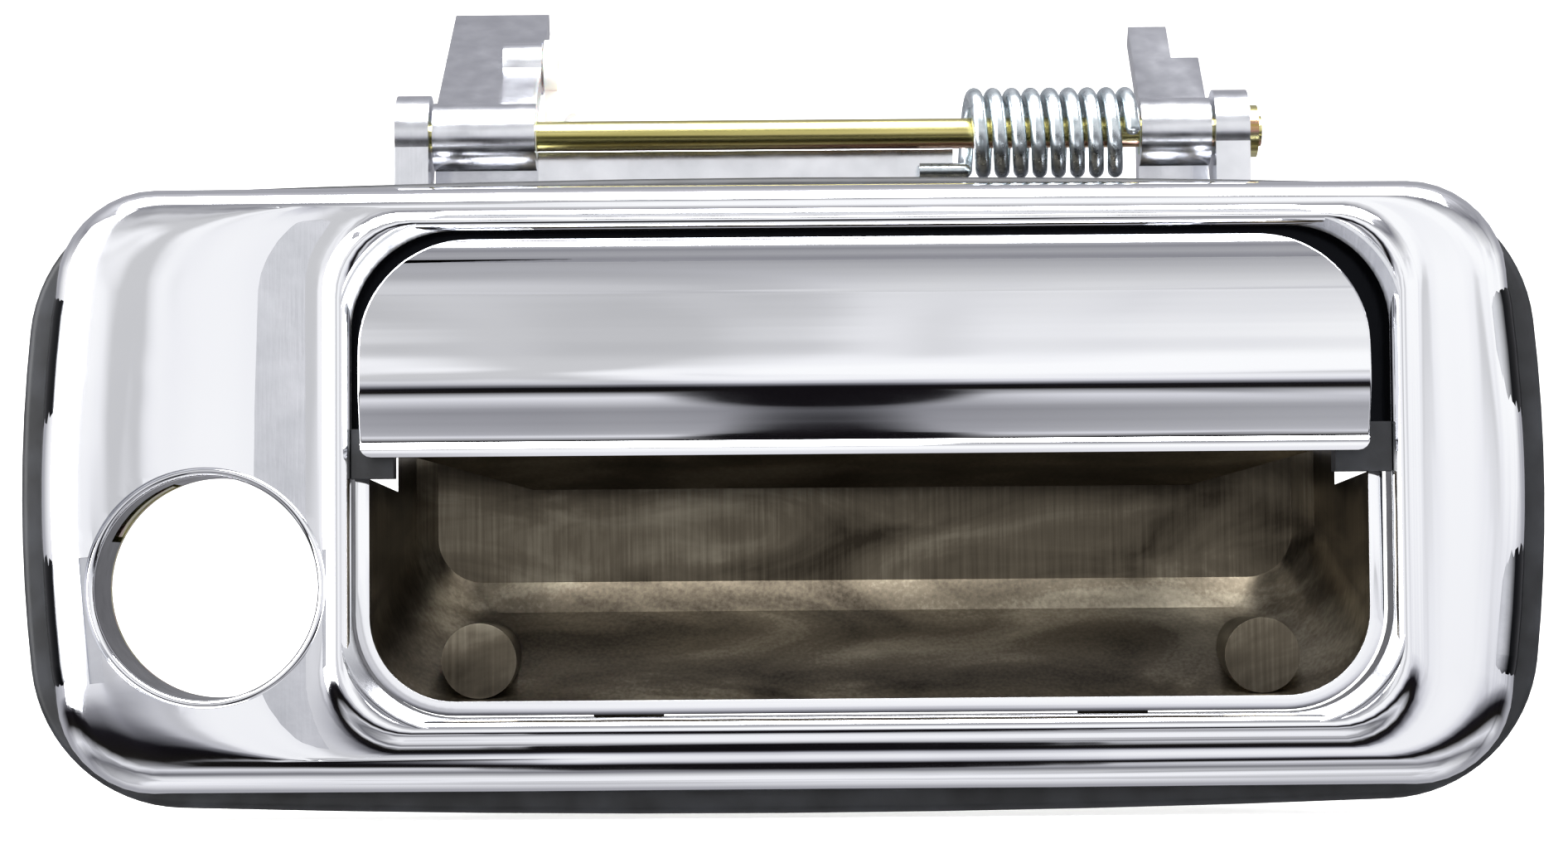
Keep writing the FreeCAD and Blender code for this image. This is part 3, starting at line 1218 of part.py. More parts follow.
def check_and_write():
    """Refuse a document with a failed object or a bad shape, then write each sub-part's solid."""
    doc.recompute()
    for thing in doc.Objects:
        if "Invalid" in thing.State or "Error" in thing.State:
            raise RuntimeError(f"{thing.Name} failed: {thing.State}")
    os.makedirs("parts", exist_ok=True)
    for thing in SUBPARTS:
        if thing.Shape.isNull() or not thing.Shape.isValid() or not thing.Shape.Solids:
            raise RuntimeError(f"{thing.Label} has no valid solid")
        thing.Shape.exportStep(f"parts/{thing.Label}.step")
        print(f"{thing.Label}: {len(thing.Shape.Solids)} solid(s), {thing.Shape.Volume:.0f} mm3")


make_bezel()
make_lock_plate()
make_gasket()
make_cup()
make_studs()
make_stops()
make_rod()
make_bushes()
make_spring()
make_paddle()
make_inner_plate()
make_carrier()
make_rivets()
make_clip()
screws("backing_plate_screws",
       [(S["lock_across"], S["lock_up"] + S["lug_spacing"] * sign) for sign in (1.0, -1.0)],
       S["collar_reach"] + S["lock_plate_thick"])
screws("cup_screws",
       [(S[name], S["cup_screw_up"]) for name in ("cup_screw_left", "cup_screw_right")],
       GASKET_FRONT + S["cup_thick"])
check_and_write()
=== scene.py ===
import json
import math

import bmesh
import bpy
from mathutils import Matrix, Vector

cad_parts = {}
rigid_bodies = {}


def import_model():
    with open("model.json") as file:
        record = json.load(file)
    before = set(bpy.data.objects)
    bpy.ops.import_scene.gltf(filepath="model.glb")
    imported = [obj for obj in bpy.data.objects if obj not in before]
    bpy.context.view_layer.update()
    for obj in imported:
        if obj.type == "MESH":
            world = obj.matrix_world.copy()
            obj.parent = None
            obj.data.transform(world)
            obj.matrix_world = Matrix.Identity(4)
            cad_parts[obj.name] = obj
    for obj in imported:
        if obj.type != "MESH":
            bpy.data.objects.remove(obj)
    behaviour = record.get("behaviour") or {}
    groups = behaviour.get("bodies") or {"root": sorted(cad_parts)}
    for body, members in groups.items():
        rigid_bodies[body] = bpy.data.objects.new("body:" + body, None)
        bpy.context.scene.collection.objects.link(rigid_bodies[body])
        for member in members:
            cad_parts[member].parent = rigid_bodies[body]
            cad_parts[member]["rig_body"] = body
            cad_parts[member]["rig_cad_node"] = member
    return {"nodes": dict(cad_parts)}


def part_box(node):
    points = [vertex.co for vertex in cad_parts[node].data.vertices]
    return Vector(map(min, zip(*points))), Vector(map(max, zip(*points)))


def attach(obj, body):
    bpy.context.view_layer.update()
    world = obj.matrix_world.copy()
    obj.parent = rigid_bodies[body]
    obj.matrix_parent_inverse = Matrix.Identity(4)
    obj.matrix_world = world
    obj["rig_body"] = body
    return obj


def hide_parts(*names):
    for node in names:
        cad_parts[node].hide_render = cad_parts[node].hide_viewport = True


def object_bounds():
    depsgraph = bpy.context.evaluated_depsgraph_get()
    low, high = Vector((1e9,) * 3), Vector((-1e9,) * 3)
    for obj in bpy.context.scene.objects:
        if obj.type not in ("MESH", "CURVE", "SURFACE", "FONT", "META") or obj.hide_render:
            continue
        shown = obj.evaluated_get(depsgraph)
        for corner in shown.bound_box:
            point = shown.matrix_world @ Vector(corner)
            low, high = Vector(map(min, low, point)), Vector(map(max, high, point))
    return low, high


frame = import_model()
CAD_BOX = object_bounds()

# Looks for a chrome pull handle. Sizes are in millimetres and are laid out from the middle of the chrome
# frame, with Y = 0 on the door skin, X to the right, Z up and Y into the door. at() turns them to metres.
MM = 0.001
FRAME_WIDTH = 190.0
FRAME_HEIGHT = 77.6
GASKET_FRONT = -2.5
FACE = -7.7
WINDOW = (-54.9, 77.4, -29.2, 32.8)
WINDOW_CORNER = 13.0
PADDLE = (-53.5, 74.2, 3.9, 31.6)
PADDLE_BACK = -7.9
LOCK = (-73.4, -12.4)
# Painted shade: the frame casting is painted near black behind the next level and below the one after it, for
# the shade deep in the window's recess.
PAINTED_SHADE_FRONT = -7.6
PAINTED_SHADE_TOP = 35.0
# The cup's wall tops above WALL_LOW and behind WALL_FRONT are raised. Its front as far back as
# CUP_RIM_BACK is chrome.
WALL_LOW = -6.0
WALL_FRONT = 9.0
WALL_RISE = 6.0
CUP_RIM_BACK = -5.3
CUP_BEND = 0.8
CUP_BEND_ANGLE = 14.0
LOCK_RADIUS = 14.2

bezel_low, bezel_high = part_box("bezel")
MIDDLE = Vector((
    (bezel_low.x + bezel_high.x) / 2.0,
    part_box("gasket")[1].y,
    bezel_low.z + FRAME_HEIGHT / 2.0 * MM,
))


def at(x, y, z):
    """A place in metres, from millimetres off the frame's middle on the door skin."""
    return MIDDLE + Vector((x, y, z)) * MM


# ---------------------------------------------------------------------------------------- modelling

def begin(name, add, **settings):
    """Start a piece from a primitive, with its place in its mesh."""
    bpy.ops.object.select_all(action="DESELECT")
    add(**settings)
    piece = bpy.context.object
    piece.name = piece.data.name = name
    bpy.ops.object.transform_apply(location=True, rotation=True, scale=True)
    return piece


def choose(piece, kind, test):
    """In edit mode, select only the vertices, edges or faces for which test is true."""
    bpy.ops.mesh.select_mode(type=kind)
    bpy.ops.mesh.select_all(action="DESELECT")
    mesh = bmesh.from_edit_mesh(piece.data)
    for item in {"VERT": mesh.verts, "EDGE": mesh.edges, "FACE": mesh.faces}[kind]:
        if test(item):
            item.select_set(True)
    mesh.select_flush_mode()
    bmesh.update_edit_mesh(piece.data)


def selected_box(piece):
    """The corners of the selected vertices' box."""
    spots = [v.co.copy() for v in bmesh.from_edit_mesh(piece.data).verts if v.select]
    low = Vector([min(s[k] for s in spots) for k in range(3)])
    high = Vector([max(s[k] for s in spots) for k in range(3)])
    return low, high


def fit_selection(piece, left, right, bottom, top, level):
    """Scale and move the selected loop so that its box has these four sides, at one level."""
    low, high = selected_box(piece)
    new_low, new_high = at(left, level, bottom), at(right, level, top)
    scale = ((new_high.x - new_low.x) / (high.x - low.x), 1.0, (new_high.z - new_low.z) / (high.z - low.z))
    bpy.ops.transform.resize(value=scale, center_override=(low + high) / 2.0)
    bpy.ops.transform.translate(value=(new_low + new_high - low - high) / 2.0)


def outline_plate(name, sides, level, corner, side_bow=0.0, top_bow=0.0, corner_cuts=9, bow_cuts=9):
    """A flat plate that faces the front, with round corners and sides that may bow outwards."""
    left, right, bottom, top = sides
    width, height = (right - left) * MM, (top - bottom) * MM
    centre = at((left + right) / 2.0, level, (bottom + top) / 2.0)
    piece = begin(name, bpy.ops.mesh.primitive_circle_add, vertices=8, radius=1.0, fill_type="NGON",
                  location=centre, rotation=(math.pi / 2.0, 0.0, 0.0))
    bpy.ops.object.mode_set(mode="EDIT")
    bpy.ops.mesh.select_all(action="SELECT")
    bpy.ops.transform.resize(value=(width / 2.0, 1.0, height / 2.0), center_override=centre)
    slack = width * 0.1
    choose(piece, "VERT", lambda v: abs(v.co.x - centre.x) > slack and abs(v.co.z - centre.z) > height * 0.1)
    reach = math.cos(math.pi / 4.0)
    bpy.ops.transform.resize(
        value=((width / 2.0 - side_bow * MM) / (width / 2.0 * reach), 1.0,
               (height / 2.0 - top_bow * MM) / (height / 2.0 * reach)),
        center_override=centre)
    bpy.ops.mesh.bevel(offset=corner * MM, offset_type="WIDTH", segments=corner_cuts, affect="VERTICES",
                       clamp_overlap=False)
    bpy.ops.mesh.select_all(action="DESELECT")
    for across in (True, False):
        choose(piece, "VERT", lambda v: (abs(v.co.z - centre.z) if across else abs(v.co.x - centre.x)) < 1e-6)
        span = (height if across else width) / 2.0 - corner * MM
        bpy.ops.mesh.bevel(offset=span * 0.9, offset_type="WIDTH", segments=bow_cuts, affect="VERTICES",
                           clamp_overlap=False)
    return piece


def end_edit():
    bpy.ops.object.mode_set(mode="OBJECT")


def smooth(piece, angle=35.0):
    bpy.ops.object.select_all(action="DESELECT")
    piece.select_set(True)
    bpy.context.view_layer.objects.active = piece
    bpy.ops.object.shade_smooth_by_angle(angle=math.radians(angle))


def outward(piece):
    """Merge doubles and make the faces point outwards."""
    bpy.ops.mesh.select_all(action="SELECT")
    bpy.ops.mesh.remove_doubles(threshold=1e-6)
    bpy.ops.mesh.normals_make_consistent(inside=False)


def settle(piece, kind, **settings):
    """Add a modifier and apply it."""
    bpy.context.view_layer.objects.active = piece
    modifier = piece.modifiers.new(kind.title(), kind)
    for name, value in settings.items():
        setattr(modifier, name, value)
    bpy.ops.object.modifier_apply(modifier=modifier.name)


# ---------------------------------------------------------------------------------------- materials

def linear(hex_colour):
    """An sRGB hex colour as linear RGBA."""
    channels = [int(hex_colour[k:k + 2], 16) / 255.0 for k in (1, 3, 5)]
    return tuple(c / 12.92 if c <= 0.04045 else ((c + 0.055) / 1.055) ** 2.4 for c in channels) + (1.0,)


def add(tree, kind, inputs=None, **settings):
    """Add a node, set its properties, and give its inputs values or links."""
    made = tree.nodes.new(kind)
    for name, value in settings.items():
        setattr(made, name, value)
    for name, value in (inputs or {}).items():
        socket = made.inputs[name]
        if isinstance(value, bpy.types.NodeSocket):
            tree.links.new(value, socket)
        else:
            socket.default_value = value
    return made


def new_material(name, **shader):
    """A material with only its Principled shader, and the tree to add to."""
    made = bpy.data.materials.new(name)
    made.use_nodes = True
    tree = made.node_tree
    tree.nodes.clear()
    surface = add(tree, "ShaderNodeBsdfPrincipled", shader)
    add(tree, "ShaderNodeOutputMaterial", {"Surface": surface.outputs["BSDF"]})
    return made, tree, surface


def grain(tree, spacing, stretch=(1.0, 1.0, 1.0), detail=2.0, distortion=0.0):
    """Noise on the piece's own coordinates, with features about spacing millimetres wide."""
    place = add(tree, "ShaderNodeTexCoord")
    mapped = add(tree, "ShaderNodeMapping", {"Vector": place.outputs["Object"], "Scale": stretch})
    return add(tree, "ShaderNodeTexNoise", {
        "Vector": mapped.outputs["Vector"], "Scale": 1.0 / (spacing * MM), "Detail": detail,
        "Roughness": 0.5, "Distortion": distortion}).outputs["Fac"]


def ramp(tree, factor, stops):
    """A colour ramp between (position, hex colour) stops."""
    made = add(tree, "ShaderNodeValToRGB", {"Fac": factor})
    while len(made.color_ramp.elements) < len(stops):
        made.color_ramp.elements.new(0.5)
    for element, (position, colour) in zip(made.color_ramp.elements, stops):
        element.position = position
        element.color = linear(colour)
    return made.outputs["Color"]


def spread(tree, factor, low, high):
    """Map a 0 to 1 factor to a range."""
    return add(tree, "ShaderNodeMapRange", {"Value": factor, "To Min": low, "To Max": high}).outputs["Result"]


def bumps(tree, surface, layers):
    """Stack bumps on a shader. Each layer is a height factor and its depth in millimetres."""
    normal = None
    for height, depth in layers:
        inputs = {"Height": height, "Distance": depth * MM, "Strength": 1.0}
        if normal is not None:
            inputs["Normal"] = normal
        normal = add(tree, "ShaderNodeBump", inputs).outputs["Normal"]
    tree.links.new(normal, surface.inputs["Normal"])


def bright_chrome(name, wave, depth, colour="#F1F2F5"):
    """Decorative chromium plate on a polished die casting: a near-white mirror. The casting is not quite
    flat under it, so reflections flow like liquid, and wiping has left faint haze."""
    made, tree, surface = new_material(name, Metallic=1.0)
    surface.inputs["Base Color"].default_value = linear(colour)
    haze = grain(tree, 9.0, (1.0, 1.0, 2.0), 4.0)
    tree.links.new(spread(tree, haze, 0.03, 0.085), surface.inputs["Roughness"])
    bumps(tree, surface, [(grain(tree, wave, (1.0, 1.0, 1.0), 1.0, 0.6), depth)])
    return made


def satin_chrome(name, painted_recess_shade=False):
    """Thin chromium plate over an unpolished casting: light grey, half gloss, with fine drawn lines. When
    asked, it paints the casting deep in the window's recess near black, as painted shade."""
    made, tree, surface = new_material(name, Metallic=1.0)
    tone = ramp(tree, grain(tree, 7.0, (1.0, 1.0, 1.0), 4.0), [(0.25, "#D2D4D9"), (0.75, "#E8E9EE")])
    if painted_recess_shade:
        # painted shade: near black on the casting behind the front level and below the top level of the
        # window's recess
        spot = add(tree, "ShaderNodeTexCoord").outputs["Object"]
        parts = add(tree, "ShaderNodeSeparateXYZ", {"Vector": spot})
        shade_depth_mask = add(tree, "ShaderNodeMapRange", {
            "Value": parts.outputs["Y"],
            "From Min": at(0, PAINTED_SHADE_FRONT, 0).y, "From Max": at(0, PAINTED_SHADE_FRONT + 0.6, 0).y})
        low = add(tree, "ShaderNodeMapRange", {
            "Value": parts.outputs["Z"],
            "From Min": at(0, 0, PAINTED_SHADE_TOP + 1.0).z, "From Max": at(0, 0, PAINTED_SHADE_TOP).z})
        recess_shade_mask = add(tree, "ShaderNodeMath", {0: shade_depth_mask.outputs["Result"], 1: low.outputs["Result"]},
                   operation="MULTIPLY")
        tone = add(tree, "ShaderNodeMix", {
            "Factor": recess_shade_mask.outputs["Value"], "A": tone, "B": linear("#131417")},
            data_type="RGBA").outputs["Result"]
    tree.links.new(tone, surface.inputs["Base Color"])
    tree.links.new(spread(tree, grain(tree, 3.0), 0.12, 0.30), surface.inputs["Roughness"])
    # lines 0.4 mm apart across the knuckles, and casting texture of about 1.5 mm
    bumps(tree, surface, [(grain(tree, 0.4, (1.0, 0.06, 0.06)), 0.008), (grain(tree, 1.5), 0.012)])
    return made


def brushed_steel(name, dark, middle, light):
    """Stamped stainless sheet, brushed up and down, in the tones given, with soft stains and streaks of
    light. The callers give brown-grey tones darkened as painted shade where the steel sits in the recess.
    """
    made, tree, surface = new_material(name, Metallic=1.0)
    streaks = grain(tree, 0.5, (1.0, 1.0, 0.03), 3.0)
    stains = grain(tree, 16.0, (0.6, 1.0, 1.4), 5.0, 0.8)
    blend = add(tree, "ShaderNodeMath", {0: stains, 1: spread(tree, streaks, -0.12, 0.12)}, operation="ADD")
    tone = ramp(tree, blend.outputs["Value"], [(0.30, dark), (0.52, middle), (0.80, light)])
    tree.links.new(tone, surface.inputs["Base Color"])
    tree.links.new(spread(tree, stains, 0.22, 0.42), surface.inputs["Roughness"])
    # brush lines 0.5 mm apart are drawn coarser than the real 0.1 mm so that they show
    bumps(tree, surface, [(streaks, 0.006), (grain(tree, 12.0, (1.0, 1.0, 1.0), 1.0), 0.10)])
    return made


def yellow_zinc(name):
    """Zinc plate with yellow chromate: gold that drifts to olive and pink in bands along the rod."""
    made, tree, surface = new_material(name, Metallic=1.0)
    bands = grain(tree, 2.2, (0.02, 1.0, 1.0), 3.0)
    tone = ramp(tree, bands, [(0.28, "#7E7A3C"), (0.42, "#C6BC7A"), (0.52, "#D9D3A0"), (0.62, "#C79A8C"),
                              (0.74, "#A58F4E")])
    tree.links.new(tone, surface.inputs["Base Color"])
    tree.links.new(spread(tree, grain(tree, 1.0, (0.05, 1.0, 1.0)), 0.16, 0.32), surface.inputs["Roughness"])
    bumps(tree, surface, [(grain(tree, 0.8, (0.1, 1.0, 1.0)), 0.006)])
    return made


def bright_zinc(name):
    """Blue-white zinc plate on spring wire and screws: cool grey, slightly mottled, half gloss."""
    made, tree, surface = new_material(name, Metallic=1.0)
    tone = ramp(tree, grain(tree, 1.6, detail=4.0), [(0.3, "#A9B3B8"), (0.7, "#DDE4E8")])
    tree.links.new(tone, surface.inputs["Base Color"])
    tree.links.new(spread(tree, grain(tree, 0.9), 0.20, 0.38), surface.inputs["Roughness"])
    bumps(tree, surface, [(grain(tree, 0.7), 0.01)])
    return made


def moulded_rubber(name):
    """EPDM rubber, moulded: near black, matt with a faint sheen, and a slightly dusty skin."""
    made, tree, surface = new_material(name, **{"Specular IOR Level": 0.45})
    tone = ramp(tree, grain(tree, 5.0, detail=5.0), [(0.35, "#0C0D10"), (0.7, "#1C1E23")])
    tree.links.new(tone, surface.inputs["Base Color"])
    tree.links.new(spread(tree, grain(tree, 2.5), 0.42, 0.62), surface.inputs["Roughness"])
    bumps(tree, surface, [(grain(tree, 0.6), 0.012)])
    return made


def natural_nylon(name):
    """Unpigmented nylon 66, moulded: milky white that lets a little light through."""
    made, tree, surface = new_material(name, **{
        "Subsurface Weight": 0.35, "Subsurface Scale": 0.002, "IOR": 1.53})
    tone = ramp(tree, grain(tree, 3.0), [(0.3, "#DEDED8"), (0.7, "#F2F2EE")])
    tree.links.new(tone, surface.inputs["Base Color"])
    tree.links.new(spread(tree, grain(tree, 1.5), 0.28, 0.42), surface.inputs["Roughness"])
    bumps(tree, surface, [(grain(tree, 1.0), 0.006)])
    return made


FRAME_CHROME = bright_chrome("bright_chrome_frame", 19.0, 0.075)
RIM_CHROME = bright_chrome("bright_chrome_cup_rim", 24.0, 0.02)
PADDLE_CHROME = bright_chrome("bright_chrome_paddle", 40.0, 0.05)
SATIN = satin_chrome("satin_chrome_casting")
# the frame casting's material, with painted shade deep in the window's recess
CASTING_WITH_PAINTED_SHADE = satin_chrome("satin_chrome_casting_painted_recess_shade", painted_recess_shade=True)
# painted shade: the cup and ledge steel are darkened to brown-grey for the shade in the handle's recess, and
# the cup, lying deeper, is darker than the ledge
CUP_STEEL_PAINTED_SHADE = brushed_steel("brushed_stainless_cup_painted_shade", "#2E2922", "#5D564A", "#9A9382")
LEDGE_STEEL_PAINTED_SHADE = brushed_steel("brushed_stainless_ledge_painted_shade", "#453E35", "#6F675A", "#A39B8B")
GOLD_ZINC = yellow_zinc("yellow_zinc_plate")
WIRE_ZINC = bright_zinc("bright_zinc_plate")
RUBBER = moulded_rubber("moulded_epdm_rubber")
NYLON = natural_nylon("natural_nylon")

NODE_FINISHES = {
    "bezel": CASTING_WITH_PAINTED_SHADE, "gasket": RUBBER, "recess_cup": CUP_STEEL_PAINTED_SHADE, "lock_backing_plate": GOLD_ZINC,
    "bump_stop_left": RUBBER, "bump_stop_right": RUBBER, "hinge_rod": GOLD_ZINC,
    "rod_retaining_ring": GOLD_ZINC, "return_spring": WIRE_ZINC, "pull_paddle": PADDLE_CHROME,
    "paddle_inner_plate": LEDGE_STEEL_PAINTED_SHADE, "hinge_carrier": SATIN, "rod_clip": NYLON,
    "mounting_studs": WIRE_ZINC, "cup_screws": WIRE_ZINC, "backing_plate_screws": WIRE_ZINC,
    "hinge_bush_left": NYLON, "hinge_bush_right": NYLON, "carrier_rivets": WIRE_ZINC,
}
for node_name, finish_material in NODE_FINISHES.items():
    cad = frame["nodes"][node_name]
    cad.data.materials.clear()
    cad.data.materials.append(finish_material)


def dress(piece, material, body):
    piece.data.materials.clear()
    piece.data.materials.append(material)
    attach(piece, body)


# ---------------------------------------------------------------------------------------- chrome face

def ring_step(piece, sides, level):
    """Extrude the selected loop to new sides and a new level."""
    bpy.ops.mesh.extrude_edges_move()
    fit_selection(piece, *sides, level)


def grown(sides, out, out_top=None):
    """Four sides moved outwards by one amount, and the top by its own."""
    left, right, bottom, top = sides
    return left - out, right + out, bottom - out, top + (out if out_top is None else out_top)


def open_plate(piece):
    """Delete a plate's face and leave its outline selected."""
    bpy.ops.mesh.select_mode(type="FACE")
    bpy.ops.mesh.select_all(action="SELECT")
    bpy.ops.mesh.delete(type="ONLY_FACE")
    bpy.ops.mesh.select_mode(type="EDGE")
    bpy.ops.mesh.select_all(action="SELECT")


SKIN = 0.06
OUTER_CORNER = 17.0
SIDE_BOW = 3.6
TOP_BOW = 0.4
ROLL = 4.0
ROLL_TOP = 2.7
ROLL_TURNS = (15.0, 30.0, 45.0, 58.0, 70.0, 80.0)
# The bead round the window: how far out from the window, and its level. It is narrower along the top.
BEAD_STEPS = [(0.03, -7.2), (0.15, -7.7), (0.45, -8.25), (0.9, -8.62), (1.4, -8.78), (1.9, -8.78),
              (2.3, -8.62), (2.7, -8.35), (3.1, -8.08), (3.6, -7.9), (4.3, -7.82)]
BEAD_TOP_SHARE = 0.66
CROWN_CUTS = 14
CROWN_SMOOTHNESS = 0.8
HOLE_MARGIN = 1.1
HOLE_REACH = HOLE_MARGIN - 0.01
RIM_RADIUS = 0.62
RIM_SINK = 0.42
OUTER = (-FRAME_WIDTH / 2.0, FRAME_WIDTH / 2.0, -FRAME_HEIGHT / 2.0, FRAME_HEIGHT / 2.0)


def make_face():
    """The plated front of the frame: a skin over the casting that rolls back at its outside, is softly
    crowned across its wide parts, and rises to a bead round the window."""
    outer = outline_plate("frame_face", grown(OUTER, SKIN), GASKET_FRONT, OUTER_CORNER,
                          SIDE_BOW, TOP_BOW)
    open_plate(outer)
    ring_step(outer, grown(OUTER, SKIN), FACE + ROLL)
    for turn in ROLL_TURNS:
        share = 1.0 - math.cos(math.radians(turn))
        depth = FACE - SKIN + ROLL * (1.0 - math.sin(math.radians(turn)))
        ring_step(outer, grown(OUTER, SKIN - ROLL * share, SKIN - ROLL_TOP * share), depth)
    end_edit()
    inner = outline_plate("frame_bead", WINDOW, FACE + 1.2, WINDOW_CORNER)
    open_plate(inner)
    for out, level in BEAD_STEPS:
        ring_step(inner, grown(WINDOW, out, out * BEAD_TOP_SHARE), level)
    end_edit()
    bpy.ops.object.select_all(action="DESELECT")
    inner.select_set(True)
    outer.select_set(True)
    bpy.context.view_layer.objects.active = outer
    bpy.ops.object.join()
    bpy.ops.object.mode_set(mode="EDIT")
    roll_end = FACE - SKIN + ROLL * (1.0 - math.sin(math.radians(ROLL_TURNS[-1])))
    ends = (at(0, roll_end, 0).y, at(0, BEAD_STEPS[-1][1], 0).y)
    choose(outer, "EDGE", lambda e: e.is_boundary and any(
        all(abs(v.co.y - level) < 1e-6 for v in e.verts) for level in ends))
    bpy.ops.mesh.bridge_edge_loops(number_cuts=CROWN_CUTS, interpolation="SURFACE",
                                   smoothness=CROWN_SMOOTHNESS)
    outward(outer)
    end_edit()
    hole = begin("lock_cutter", bpy.ops.mesh.primitive_cylinder_add, vertices=96,
                 radius=(LOCK_RADIUS + HOLE_MARGIN) * MM, depth=12.0 * MM,
                 location=at(LOCK[0], FACE, LOCK[1]), rotation=(math.pi / 2.0, 0.0, 0.0))
    settle(outer, "BOOLEAN", operation="DIFFERENCE", object=hole, solver="EXACT")
    bpy.data.objects.remove(hole)
    bpy.ops.object.mode_set(mode="EDIT")
    # the cut leaves a lid on the skin, because the skin has no thickness
    axis = at(LOCK[0], FACE, LOCK[1])
    choose(outer, "FACE", lambda f: math.hypot(
        f.calc_center_median().x - axis.x,
        f.calc_center_median().z - axis.z) < (LOCK_RADIUS + HOLE_REACH) * MM)
    bpy.ops.mesh.delete(type="FACE")
    end_edit()
    smooth(outer, 50.0)
    dress(outer, FRAME_CHROME, "housing")


def make_lock_rim():
    """The rolled edge round the lock hole, spun from a round section."""
    centre = at(LOCK[0], FACE, LOCK[1])
    rim = begin("lock_hole_rim", bpy.ops.mesh.primitive_circle_add, vertices=24, radius=RIM_RADIUS * MM,
                location=at(LOCK[0] + LOCK_RADIUS + RIM_RADIUS, FACE + RIM_SINK, LOCK[1]))
    bpy.ops.object.mode_set(mode="EDIT")
    bpy.ops.mesh.select_all(action="SELECT")
    bpy.ops.mesh.spin(steps=120, angle=2.0 * math.pi, center=centre, axis=(0.0, 1.0, 0.0))
    outward(rim)
    end_edit()
    smooth(rim, 60.0)
    dress(rim, FRAME_CHROME, "housing")


def start_copy(node, name):
    """A copy of a CAD node with its own merged mesh, in edit mode."""
    bpy.ops.object.select_all(action="DESELECT")
    piece = frame["nodes"][node].copy()
    piece.data = piece.data.copy()
    piece.parent = None
    piece.name = piece.data.name = name
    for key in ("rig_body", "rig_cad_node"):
        del piece[key]
    bpy.context.scene.collection.objects.link(piece)
    piece.select_set(True)
    bpy.context.view_layer.objects.active = piece
    bpy.ops.object.mode_set(mode="EDIT")
    bpy.ops.mesh.select_all(action="SELECT")
    bpy.ops.mesh.remove_doubles(threshold=1e-6)
    return piece


def make_cup():
    """The finger cup: a pressing with round bends, a raised back wall and a bright front rim."""
    cup = start_copy("recess_cup", "cup_pressing")
    # the back wall stands higher than the CAD one, so that nothing shows through behind the ledge
    choose(cup, "FACE", lambda f: f.normal.z > 0.9 and f.calc_center_median().z > at(0, 0, WALL_LOW).z
           and f.calc_center_median().y > at(0, WALL_FRONT, 0).y)
    bpy.ops.mesh.extrude_region_move(TRANSFORM_OT_translate={"value": (0.0, 0.0, WALL_RISE * MM)})
    end_edit()
    settle(cup, "BEVEL", width=CUP_BEND * MM, segments=4, limit_method="ANGLE",
           angle_limit=math.radians(CUP_BEND_ANGLE))
    smooth(cup, 50.0)
    dress(cup, CUP_STEEL_PAINTED_SHADE, "housing")
    cup.data.materials.append(RIM_CHROME)
    bpy.ops.object.mode_set(mode="EDIT")
    rim_back = at(0.0, CUP_RIM_BACK, 0.0).y
    choose(cup, "FACE", lambda f: f.calc_center_median().y < rim_back)
    cup.active_material_index = 1
    bpy.ops.object.material_slot_assign()
    end_edit()
    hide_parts("recess_cup")


def rounded_copy(node, name, width, angle, material, body):
    """A pressed or moulded piece as it leaves the tool: the same shape with its bends and edges rounded."""
    piece = start_copy(node, name)
    end_edit()
    settle(piece, "BEVEL", width=width * MM, segments=3, limit_method="ANGLE",
           angle_limit=math.radians(angle))
    smooth(piece, 50.0)
    dress(piece, material, body)
    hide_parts(node)


# ---------------------------------------------------------------------------------------- paddle

# Places down the paddle's front: height, and how far it stands in front of its flat back.
PADDLE_PROFILE = [
    (31.6, 1.2), (31.0, 1.75), (29.6, 2.1), (26.0, 2.75), (22.0, 3.3), (18.4, 3.8), (15.8, 4.2), (13.8, 4.4),
    (12.2, 4.28), (10.6, 3.85), (8.8, 3.2), (7.0, 2.55), (5.9, 2.2), (5.4, 2.25), (5.2, 2.6), (3.9, 2.6),
]
PADDLE_ROW_SPACE = 0.45
PADDLE_THICK = 2.0
PADDLE_TOP_CORNER = 14.0
PADDLE_FOOT_CORNER = 1.5
PADDLE_RIM = 1.1
PADDLE_RIM_BOTTOM = 5.2


def stand_out(height):
    """How far the paddle's front stands out at a height: a smooth line through the places of its profile."""
    places = PADDLE_PROFILE
    last = len(places) - 2
    for k in range(last + 1):
        (high, out_high), (low, out_low) = places[k], places[k + 1]
        if height >= low or k == last:
            before, after = places[max(k - 1, 0)], places[min(k + 2, len(places) - 1)]
            part = (high - height) / (high - low)
            leave = (out_low - before[1]) / (before[0] - low) * (high - low)
            arrive = (after[1] - out_high) / (high - after[0]) * (high - low)
            square, cube = part ** 2, part ** 3
            return ((2 * cube - 3 * square + 1) * out_high + (cube - 2 * square + part) * leave
                    + (3 * square - 2 * cube) * out_low + (cube - square) * arrive)


